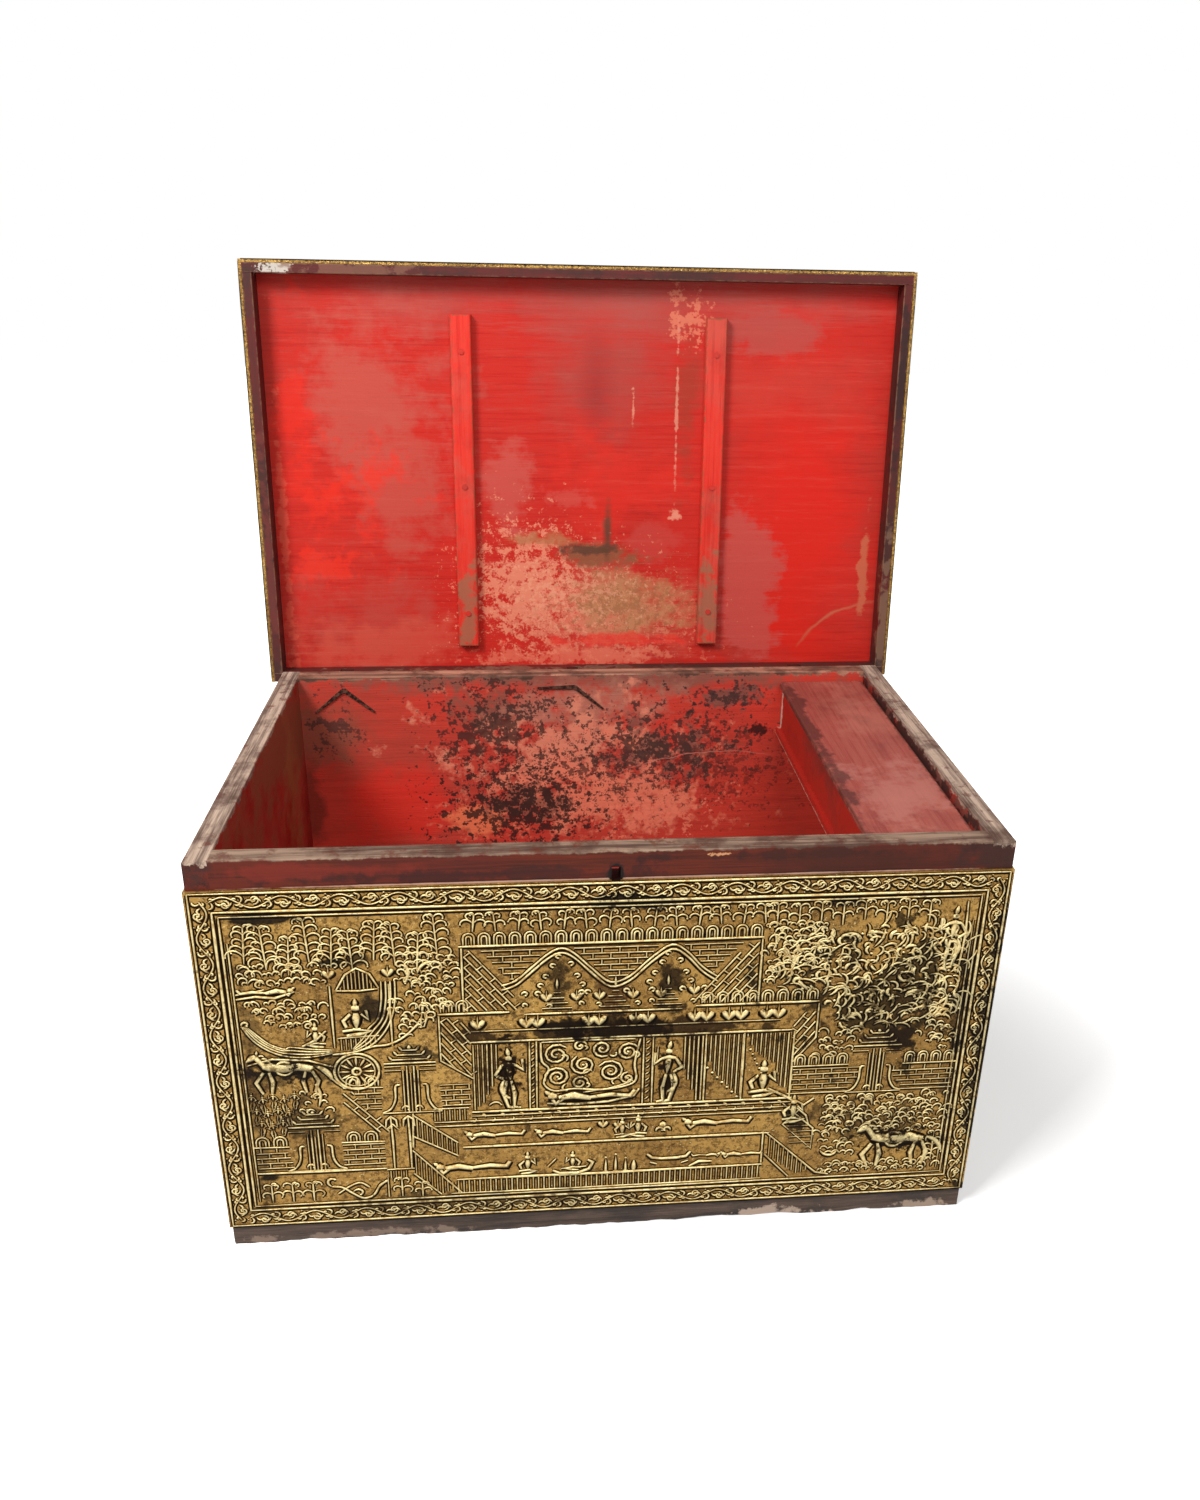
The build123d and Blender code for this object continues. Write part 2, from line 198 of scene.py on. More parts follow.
class Effects:
    """Builds each shared effect once, and knows how the lid lies."""

    def __init__(self, lid: LidSpace) -> None:
        """Makes every group."""
        self.lid = lid
        self.patch = self.make_patch()
        self.edge = self.make_edge()
        self.grain = self.make_grain()
        self.height = self.make_height()
        self.slope = self.make_painted_underside_shade()
        self.mark = self.make_mark()
        self.cloud = self.make_cloud()

    @staticmethod
    def close(nodes: Nodes, value) -> NodeTree:
        """Joins a group's result to its output and returns the group."""
        nodes.join(value, nodes.add("NodeGroupOutput").inputs[0])
        return nodes.tree

    def make_patch(self) -> NodeTree:
        """Returns an oval patch with a broken edge, 1 inside and 0 outside."""
        n, given = new_group("worn_patch", "Mask", "Vector Centre Size", "Soft Break Scale Streak")
        offset = n.vector("SUBTRACT", given["Vector"], given["Centre"]).outputs[0]
        oval = n.vector("DIVIDE", offset, given["Size"]).outputs[0]
        reach = n.vector("LENGTH", oval).outputs["Value"]
        fine = n.noise(given["Vector"], given["Scale"], 6.0, 0.65)
        broad = n.noise(given["Vector"], n.times(given["Scale"], 0.3), 3.0, 0.6)
        cloud = n.plus(fine, n.times(n.minus(broad, 0.5), 1.4))
        broken = n.times(n.minus(cloud, 0.5), n.times(given["Break"], 3.0))
        value = n.plus(n.plus(n.minus(1.0, reach), broken), given["Streak"])
        return self.close(n, n.math("DIVIDE", value, given["Soft"], clamp=True))

    def make_edge(self) -> NodeTree:
        """Returns a mask that is 1 along the edges of a box and fades away from them."""
        n, given = new_group("edge_wear", "Mask", "Vector Low High", "Width Scale")
        above = n.vector("SUBTRACT", given["Vector"], given["Low"]).outputs[0]
        below = n.vector("SUBTRACT", given["High"], given["Vector"]).outputs[0]
        near = n.add("SeparateXYZ", {0: n.vector("MINIMUM", above, below).outputs[0]}).outputs
        least = n.math("MINIMUM", near[0], near[1])
        most = n.math("MAXIMUM", near[0], near[1])
        middle = n.math("MAXIMUM", least, n.math("MINIMUM", most, near[2]))
        cloud = n.noise(given["Vector"], given["Scale"], 5.0, 0.7)
        reach = n.times(given["Width"], n.remap(cloud, 0.3, 0.75, 0.1, 2.2))
        return self.close(n, n.minus(1.0, n.math("DIVIDE", middle, reach), True))

    def make_grain(self) -> NodeTree:
        """Returns fine streaks that run along X before the vector is turned."""
        n, given = new_group("board_grain", "Streaks", "Vector", "Scale Stretch")
        along = n.add("CombineXYZ", {0: given["Stretch"], 1: 1.0, 2: 1.0}).outputs[0]
        stretched = n.vector("MULTIPLY", given["Vector"], along).outputs[0]
        wide = n.noise(stretched, given["Scale"], 5.0, 0.6)
        fine = n.noise(stretched, n.times(given["Scale"], 6.0), 3.0, 0.6)
        return self.close(n, n.plus(n.times(wide, 0.65), n.times(fine, 0.35)))

    def make_height(self) -> NodeTree:
        """Returns how far a point stands above a flat face, as 0 at Low and 1 at High."""
        n, given = new_group("relief_height", "Share", "Vector Origin Facing", "Low High")
        offset = n.vector("SUBTRACT", given["Vector"], given["Origin"]).outputs[0]
        height = n.vector("DOT_PRODUCT", offset, given["Facing"]).outputs["Value"]
        span = n.minus(given["High"], given["Low"])
        return self.close(n, n.math("DIVIDE", n.minus(height, given["Low"]), span, clamp=True))

    def make_painted_underside_shade(self) -> NodeTree:
        """Returns a painted shade: 0 on the undersides of raised lines, which are painted dark as if in
        shadow, and 1 on their upper sides.
        """
        n, given = new_group("relief_painted_underside_shade", "Share", "Up")
        turned_normal = n.add("VectorTransform", {0: n.add("NewGeometry").outputs["Normal"]},
                              vector_type="NORMAL", convert_from="WORLD", convert_to="OBJECT").outputs[0]
        lean = n.vector("DOT_PRODUCT", turned_normal, given["Up"]).outputs["Value"]
        return self.close(n, n.remap(lean, -0.5, 0.12))

    def make_mark(self) -> NodeTree:
        """Returns a thin curved line, 1 on the line: part of a ring about a centre."""
        n, given = new_group("scratch_mark", "Mask", "Vector Centre Middle", "Radius Reach Width")
        shake = n.noise(given["Vector"], 35.0, 2.0)
        offset = n.vector("DISTANCE", given["Vector"], given["Centre"]).outputs["Value"]
        moved = n.plus(offset, n.times(n.minus(shake, 0.5), 0.01))
        away = n.math("ABSOLUTE", n.minus(moved, given["Radius"]))
        line = n.minus(1.0, n.math("DIVIDE", away, given["Width"]), True)
        from_middle = n.vector("DISTANCE", given["Vector"], given["Middle"]).outputs["Value"]
        ends = n.minus(1.0, n.math("DIVIDE", from_middle, given["Reach"]), True)
        return self.close(n, n.times(line, n.math("POWER", ends, 0.4)))

    def make_cloud(self) -> NodeTree:
        """Returns a cloudy mask with a set cover."""
        n, given = new_group("cloud", "Mask", "Vector", "Scale Low High")
        cloud = n.noise(given["Vector"], given["Scale"], 8.0, 0.62)
        span = n.minus(given["High"], given["Low"])
        return self.close(n, n.math("DIVIDE", n.minus(cloud, given["Low"]), span, clamp=True))


@dataclass(frozen=True)
class Patch:
    """An oval patch of wear, stain or painted light and shade, in metres in the row frame or the shut lid's
    frame.
    """

    centre: Triple
    size: Triple
    colour: Colour
    strength: float = 1.0
    soft: float = 0.35
    broken: float = 0.6
    scale: float = 40.0
    thin: float = 0.0

    def mask(self, nodes: Nodes, effects: Effects, vector, streak=0.0) -> Socket:
        """Returns how far the patch covers each point, with brush lines that fray its edge."""
        frayed = nodes.minus(streak, self.thin) if self.thin else streak
        inputs = (vector, self.centre, self.size, self.soft, self.broken, self.scale, frayed)
        return nodes.times(nodes.group(effects.patch, *inputs), self.strength)


class Plane(Enum):
    """The flat faces that are worn: the axis they face, their place on it and the depth of the wear."""

    WELL_BACK = (1, 0.252, 0.05)
    WELL_LEFT = (0, -0.424, 0.05)
    WELL_RIGHT = (0, 0.424, 0.05)
    BAND = (1, -0.278, 0.03)
    GOLD = (1, -0.2805, 0.02)
    LID_GOLD = (1, -0.592, 0.03)
    LID_PANEL = (2, 0.0195, 0.05)
    LID_RIM = (2, -0.0097, 0.02)
    BATTEN = (2, 0.0065, 0.02)

    def patches(self, *rows: tuple[float, ...]) -> tuple[Patch, ...]:
        """Makes patches of wear, stain or painted light and shade on the plane.

        Args:
            *rows: For each patch its place and its half size on the plane, its display colour, its strength
                and then softness, brokenness, scale and thinness, as far as they differ from the usual.

        Returns:
            The patches in order.
        """
        axis, level, depth = self.value
        made = []
        for across, up, wide, high, red, green, blue, *rest in rows:
            centre, size = [across, up], [wide, high]
            centre.insert(axis, level)
            size.insert(axis, depth)
            made.append(Patch(tuple(centre), tuple(size), rgb(red, green, blue), *rest))
        return tuple(made)


@dataclass(frozen=True)
class Scratch:
    """A thin pale line, part of a ring in the surface."""

    centre: Triple
    middle: Triple
    radius: float
    reach: float
    width: float
    colour: Colour


class Along(Enum):
    """The way that a board's grain runs, as the turn that brings it to X."""

    X = (0.0, 0.0, 0.0)
    Y = (0.0, 0.0, math.pi / 2)
    Z = (0.0, math.pi / 2, 0.0)


def new_material(name: str) -> tuple[Material, Nodes, bpy.types.Node, Socket]:
    """Starts a material and returns it with its nodes, its Principled shader and object coordinates."""
    material = bpy.data.materials.new(name)
    material.use_nodes = True
    nodes = Nodes(material.node_tree)
    shader = material.node_tree.nodes["Principled BSDF"]
    return material, nodes, shader, nodes.add("TexCoord").outputs["Object"]


def finish(nodes: Nodes, shader: bpy.types.Node, inputs: dict, height, strength: float, distance: float):
    """Joins a shader's inputs, by name, and gives it a fine bump from a height."""
    bump = nodes.add("Bump", {"Strength": strength, "Distance": distance, "Height": height})
    for name, value in {**inputs, "Normal": bump.outputs[0]}.items():
        nodes.join(value, shader.inputs[name])


def add_patches(nodes: Nodes, effects: Effects, vector, colour, patches: tuple[Patch, ...], streak=0.0):
    """Lays patches of wear, stain or painted light and shade over a colour.

    Args:
        nodes: The material's nodes.
        effects: The shared effects.
        vector: Where each point is.
        colour: The colour so far.
        patches: The patches in order.
        streak: Brush lines that fray the patches' edges.

    Returns:
        The new colour.
    """
    for patch in patches:
        colour = nodes.blend(patch.mask(nodes, effects, vector, streak), colour, patch.colour)
    return colour


def add_scratches(nodes: Nodes, effects: Effects, vector, colour, scratches: tuple[Scratch, ...]):
    """Lays thin scratches over a colour and returns the new colour."""
    for mark in scratches:
        size = (mark.radius, mark.reach, mark.width)
        line = nodes.group(effects.mark, vector, mark.centre, mark.middle, *size)
        colour = nodes.blend(line, colour, mark.colour)
    return colour


@dataclass(frozen=True)
class Lacquer:
    """A coat of old lacquer on a board, with faded clouds, brush lines and worn edges."""

    name: str
    colour: Colour
    faded: Colour
    under: Colour
    along: Along = Along.X
    on_lid: bool = False
    cloud_scale: float = 5.0
    cloud_low: float = 0.47
    cloud_high: float = 0.56
    brushed: float = 0.45
    shade: Colour = rgb(110, 22, 20)
    dirt: float = 0.25
    roughness: float = 0.5
    gloss: float = 0.28
    wear: float = 0.003
    frayed: float = 0.0
    lines: float = 0.0
    low: Triple | None = None
    high: Triple | None = None
    patches: tuple[Patch, ...] = ()
    scratches: tuple[Scratch, ...] = ()

    def build(self, effects: Effects) -> Material:
        """Makes the finish and returns the material."""
        material, n, shader, vector = new_material(self.name)
        vector = effects.lid.vector(n) if self.on_lid else vector
        turned = n.add("Mapping", {"Vector": vector, "Rotation": self.along.value}).outputs[0]
        grain = n.group(effects.grain, turned, 210.0, 0.03)
        fade = n.group(effects.cloud, vector, self.cloud_scale, self.cloud_low, self.cloud_high)
        colour = n.blend(fade, self.colour, self.faded)
        streak = n.remap(grain, 0.4, 0.64)
        colour = n.blend(n.times(streak, self.brushed), colour, self.faded)
        shade = n.times(n.remap(grain, 0.52, 0.36), 0.3)
        colour = n.blend(shade, colour, self.shade)
        grime = n.group(effects.cloud, vector, 22.0, 0.5, 0.75)
        colour = n.blend(n.times(grime, self.dirt), colour, rgb(60, 28, 24))
        lines = n.group(effects.grain, turned, 95.0, 0.06)
        fray = n.times(n.minus(lines, 0.5), self.frayed)
        colour = add_patches(n, effects, vector, colour, self.patches, fray)
        colour = n.blend(n.times(n.remap(lines, 0.5, 0.7), self.lines), colour, rgb(196, 92, 78))
        colour = add_scratches(n, effects, vector, colour, self.scratches)
        rough = n.remap(fade, 0.0, 1.0, self.roughness, self.roughness + 0.12)
        if self.low is not None and self.high is not None:
            worn = n.group(effects.edge, vector, self.low, self.high, self.wear, 90.0)
            colour = n.blend(worn, colour, self.under)
            rough = n.math("MAXIMUM", rough, n.times(worn, 0.7))
        height = n.plus(n.times(grain, 0.7), n.times(n.noise(vector, 420.0, 3.0), 0.3))
        inputs = {"Base Color": colour, "Roughness": rough, "Specular IOR Level": self.gloss}
        finish(n, shader, inputs, height, 0.35, 0.0012)
        return material


@dataclass(frozen=True)
class WallCoat:
    """The walls' coat: maroon outside, red and worn inside, and bare on the rim."""

    name: str
    along: Along
    outside: Colour = rgb(98, 35, 19)
    outside_dark: Colour = rgb(52, 24, 14)
    inside: Colour = rgb(210, 64, 50)
    inside_dark: Colour = rgb(186, 68, 54)
    bare: Colour = rgb(190, 166, 146)
    bare_dark: Colour = rgb(108, 88, 76)
    inner_x: float = 0.4245
    inner_y: float = 0.2525
    rim: float = 0.530
    chipped: float = 0.010
    # These stains include painted shade at the key slot and a painted highlight and shadow along the gold's
    # top ledge.
    stains_and_painted_light: tuple[Patch, ...] = ()
    patches: tuple[Patch, ...] = ()
    scratches: tuple[Scratch, ...] = ()

    def inner_mask(self, n: Nodes, vector) -> Socket:
        """Returns 1 on the faces that look into the well."""
        size = n.vector("ABSOLUTE", vector).outputs[0]
        near = n.add("SeparateXYZ", {0: size}).outputs
        in_x = n.math("LESS_THAN", near[0], self.inner_x)
        in_y = n.math("LESS_THAN", near[1], self.inner_y)
        return n.times(in_x, in_y)

    def build(self, effects: Effects) -> Material:
        """Makes the finish and returns the material."""
        material, n, shader, vector = new_material(self.name)
        turned = n.add("Mapping", {"Vector": vector, "Rotation": self.along.value}).outputs[0]
        grain = n.group(effects.grain, turned, 110.0, 0.04)
        streak = n.remap(grain, 0.42, 0.66)
        cloud = n.group(effects.cloud, vector, 7.0, 0.42, 0.62)
        outside = n.blend(n.times(streak, 0.75), self.outside, self.outside_dark)
        outside = n.blend(n.times(cloud, 0.35), outside, rgb(78, 30, 28))
        long_marks = n.group(effects.grain, turned, 45.0, 0.02)
        outside = n.blend(n.remap(long_marks, 0.54, 0.66), outside, rgb(48, 20, 18))
        outside = add_patches(n, effects, vector, outside, self.stains_and_painted_light)
        inside = n.blend(n.times(cloud, 0.8), self.inside, self.inside_dark)
        inside = n.blend(n.times(streak, 0.2), inside, rgb(98, 26, 22))
        inside = add_patches(n, effects, vector, inside, self.patches)
        inside = add_scratches(n, effects, vector, inside, self.scratches)
        colour = n.blend(self.inner_mask(n, vector), outside, inside)
        place = n.add("SeparateXYZ", {0: vector}).outputs[2]
        ragged = n.times(n.remap(n.noise(vector, 45.0, 6.0, 0.7), 0.35, 0.7), self.chipped)
        reach = n.minus(self.rim + 0.0005, ragged)
        bared = n.remap(n.minus(place, reach), -0.0015, 0.001)
        bare = n.blend(n.remap(grain, 0.38, 0.62), self.bare_dark, self.bare)
        stain = n.group(effects.cloud, vector, 16.0, 0.5, 0.62)
        bare = n.blend(n.times(stain, 0.7), bare, rgb(70, 44, 36))
        colour = n.blend(bared, colour, bare)
        rough = n.plus(n.plus(n.times(bared, 0.3), 0.5), n.times(cloud, 0.1))
        inputs = {"Base Color": colour, "Roughness": rough, "Specular IOR Level": 0.18}
        finish(n, shader, inputs, n.plus(grain, n.times(cloud, 0.2)), 0.5, 0.002)
        return material


@dataclass(frozen=True)
class BareWood:
    """Bare old wood, such as the planks under the chest and the pegs."""

    name: str
    light: Colour
    dark: Colour
    stain: Colour
    along: Along = Along.X
    scale: float = 90.0
    patches: tuple[Patch, ...] = ()

    def build(self, effects: Effects) -> Material:
        """Makes the finish and returns the material."""
        material, n, shader, vector = new_material(self.name)
        turned = n.add("Mapping", {"Vector": vector, "Rotation": self.along.value}).outputs[0]
        grain = n.group(effects.grain, turned, self.scale, 0.05)
        colour = n.blend(n.remap(grain, 0.35, 0.65), self.dark, self.light)
        cloud = n.group(effects.cloud, vector, 14.0, 0.48, 0.66)
        colour = n.blend(n.times(cloud, 0.7), colour, self.stain)
        colour = add_patches(n, effects, vector, colour, self.patches)
        height = n.plus(grain, n.times(n.noise(vector, 160.0, 6.0, 0.7), 0.5))
        inputs = {"Base Color": colour, "Roughness": n.remap(grain, 0.3, 0.7, 0.85, 0.62)}
        finish(n, shader, inputs, height, 0.7, 0.003)
        return material


@dataclass(frozen=True)
class Iron:
    """Old forged iron, dark and a little rusty."""

    name: str
    colour: Colour = rgb(58, 48, 44)
    rust: Colour = rgb(104, 60, 40)

    def build(self, effects: Effects) -> Material:
        """Makes the finish and returns the material."""
        material, n, shader, vector = new_material(self.name)
        rusty = n.group(effects.cloud, vector, 160.0, 0.42, 0.62)
        inputs = {
            "Base Color": n.blend(rusty, self.colour, self.rust),
            "Metallic": n.remap(rusty, 0.0, 1.0, 0.8, 0.1), "Roughness": n.remap(rusty, 0.0, 1.0, 0.45, 0.8),
        }
        finish(n, shader, inputs, n.noise(vector, 700.0, 5.0, 0.65), 0.5, 0.0008)
        return material


@dataclass(frozen=True)
class Gilding:
    """Gold leaf on moulded gesso: pale on ridges, partly as a painted highlight; brown in hollows, as dirt
    and painted shade; dark on the undersides of ridges, as painted shade; and black where it is rubbed off.
    """

    name: str
    matrix: Matrix
    relief: bool
    ground: Colour = rgb(190, 149, 80)
    ground_dark: Colour = rgb(118, 83, 42)
    # The pale ridge colour is cleaner gold with a painted highlight; the two dark browns serve for dirt,
    # rubbed-off gold and painted shade.
    ridge_and_highlight: Colour = rgb(255, 234, 172)
    dirt_wear_and_shade: Colour = rgb(24, 13, 5)
    brown_dirt_and_shade: Colour = rgb(52, 31, 13)
    on_lid: bool = False
    level: bool = False
    patches: tuple[Patch, ...] = ()

    def build(self, effects: Effects) -> Material:
        """Makes the finish and returns the material."""
        material, n, shader, vector = new_material(self.name)
        broad = n.group(effects.cloud, vector, 9.0, 0.38, 0.66)
        fine = n.noise(vector, 230.0, 6.0, 0.75)
        ground = n.blend(n.times(broad, 0.7), self.ground, self.ground_dark)
        spots = n.remap(fine, 0.46, 0.6)
        colour = n.blend(n.times(spots, 0.8), ground, rgb(82, 56, 28))
        flecks = n.remap(n.noise(vector, 330.0, 4.0, 0.7), 0.6, 0.7)
        colour = n.blend(n.times(flecks, 0.6), colour, self.ridge_and_highlight)
        shine = n.minus(0.7, n.times(spots, 0.5))
        if self.relief:
            origin, facing = self.matrix.translation, self.matrix.col[2].to_3d()
            share = n.group(effects.height, vector, origin, facing, 0.00018, 0.0010)
            rubbed = n.remap(n.noise(vector, 90.0, 6.0, 0.7), 0.44, 0.66)
            # Raised lines take the pale colour: cleaner gold, and a painted highlight on their crests.
            ridge_and_highlight = n.blend(n.times(rubbed, 0.8), self.ridge_and_highlight, self.ground)
            chipped = n.remap(n.noise(vector, 150.0, 5.0, 0.7), 0.6, 0.68)
            ridge_and_highlight = n.blend(n.times(chipped, 0.8), ridge_and_highlight, self.dirt_wear_and_shade)
            raised = n.blend(n.remap(share, 0.25, 1.0), ground, ridge_and_highlight)
            # Painted shade: the undersides of raised lines, facing down the face, turn dark brown.
            under = n.group(effects.slope, self.matrix.col[2 if self.level else 1].to_3d())
            raised = n.blend(under, n.blend(rubbed, self.brown_dirt_and_shade, self.dirt_wear_and_shade), raised)
            # Low parts, such as the wide flat skirts sunk below each line, turn dark brown: dirt in the
            # hollows and a painted shadow under the lines.
            thin = n.remap(n.noise(vector, 70.0, 4.0, 0.6), 0.35, 0.7)
            dirt = n.blend(thin, self.dirt_wear_and_shade, self.brown_dirt_and_shade)
            colour = n.blend(n.remap(share, 0.0, 0.45), dirt, raised)
            shine = n.times(n.remap(share, 0.1, 0.6), 0.75)
        spot = effects.lid.vector(n) if self.on_lid else vector
        for patch in self.patches:
            mask = patch.mask(n, effects, spot)
            if self.relief:
                kept = n.times(n.remap(share, 0.3, 1.0), n.remap(rubbed, 0.2, 0.8, 0.7, 0.05))
                mask = n.times(mask, n.minus(1.0, kept))
            colour = n.blend(mask, colour, patch.colour)
            shine = n.times(shine, n.minus(1.0, mask))
        inputs = {
            "Base Color": colour, "Metallic": shine, "Roughness": n.remap(shine, 0.0, 0.7, 0.62, 0.33),
            "Specular IOR Level": 0.04,
        }
        finish(n, shader, inputs, n.noise(vector, 170.0, 6.0, 0.7), 0.75, 0.003)
        return material


def add_piece(name: str, shape: bmesh.types.BMesh, material: Material) -> bpy.types.Object:
    """Makes a shape, which is used up, into an object with one finish and returns it."""
    bmesh.ops.recalc_face_normals(shape, faces=shape.faces)
    mesh = bpy.data.meshes.new(name)
    shape.to_mesh(mesh)
    shape.free()
    mesh.materials.append(material)
    piece = bpy.data.objects.new(name, mesh)
    bpy.context.scene.collection.objects.link(piece)
    log.info("%s: %d faces", name, len(mesh.polygons))
    return piece


def coat(effects: Effects, look: Lacquer | WallCoat | BareWood | Iron | Gilding, *names: str):
    """Gives CAD nodes one finish and returns its material."""
    material = look.build(effects)
    for name in names:
        mesh = frame["nodes"][name].data
        mesh.materials.clear()
        mesh.materials.append(material)
        for side in mesh.polygons:
            side.material_index = 0
    return material


class Face(Enum):
    """The flat faces that carry relief, with their frame: across, up and outwards."""

    FRONT = "front"
    LEFT = "left"
    RIGHT = "right"
    LID_TOP = "lid_top"
    LID_FRONT = "lid_front"
    LID_LEFT = "lid_left"
    LID_RIGHT = "lid_right"

    @property
    def node(self) -> str:
        """The gesso plate that the relief stands on."""
        return self.value + "_gilding"

    @property
    def on_lid(self) -> bool:
        """Whether the face turns with the lid."""
        return self.value.startswith("lid")

    @property
    def axes(self) -> tuple[Vector, Vector, Vector]:
        """The directions across, up and out, with the lid shut."""
        across, up, out = {
            "top": ((1, 0, 0), (0, 1, 0), (0, 0, 1)), "front": ((1, 0, 0), (0, 0, 1), (0, -1, 0)),
            "left": ((0, -1, 0), (0, 0, 1), (-1, 0, 0)), "right": ((0, 1, 0), (0, 0, 1), (1, 0, 0)),
        }[self.value.removeprefix("lid_")]
        return Vector(across), Vector(up), Vector(out)


@dataclass
class Stroke:
    """One raised line: its points on the face and its half width at each, in millimetres."""

    points: list[Point]
    widths: list[float]


def between(first: Point, last: Point, share: float) -> Point:
    """Returns the point that far from one point to another."""
    return first[0] + (last[0] - first[0]) * share, first[1] + (last[1] - first[1]) * share


def pairs(values: list[float]) -> list[Point]:
    """Returns points from a flat row of x and z."""
    return list(zip(values[::2], values[1::2]))


def polar(centre: Point, angle: float, reach: float) -> Point:
    """Returns the point that far from a centre at an angle in degrees."""
    turn = math.radians(angle)
    return centre[0] + math.cos(turn) * reach, centre[1] + math.sin(turn) * reach


def turned(along: float, level: float, turn: float) -> Point:
    """Returns the point that far along a turned line."""
    return along * math.cos(turn) - level * math.sin(turn), along * math.sin(turn) + level * math.cos(turn)


def rounded(points: list[Point]) -> list[Point]:
    """Returns a smooth curve through the given points."""
    ends = [points[0], *points, points[-1]]
    curve = []
    for before, first, last, after in zip(ends, ends[1:], ends[2:], ends[3:]):
        for step in (0.0, 0.25, 0.5, 0.75):
            weights = (-0.5 * step + step ** 2 - 0.5 * step ** 3, 1 - 2.5 * step ** 2 + 1.5 * step ** 3,
                       0.5 * step + 2 * step ** 2 - 1.5 * step ** 3, -0.5 * step ** 2 + 0.5 * step ** 3)
            corners = (before, first, last, after)
            curve.append(tuple(sum(w * corner[axis] for w, corner in zip(weights, corners))
                               for axis in (0, 1)))
    return curve + [points[-1]]


def crossings(outline: list[Point], angle: float, level: float) -> list[float]:
    """Cuts an outline with a line.

    Args:
        outline: The corners of the outline.
        angle: The way the line runs, in radians.
        level: How far the line lies from the origin.

    Returns:
        Places along the line, in order, where it enters and leaves the outline.
    """
    along = (math.cos(angle), math.sin(angle))
    across = (-math.sin(angle), math.cos(angle))
    places = []
    for first, last in zip(outline, outline[1:] + outline[:1]):
        low = first[0] * across[0] + first[1] * across[1] - level
        high = last[0] * across[0] + last[1] * across[1] - level
        if (low < 0) != (high < 0):
            x, z = between(first, last, low / (low - high))
            places.append(x * along[0] + z * along[1])
    return sorted(places)


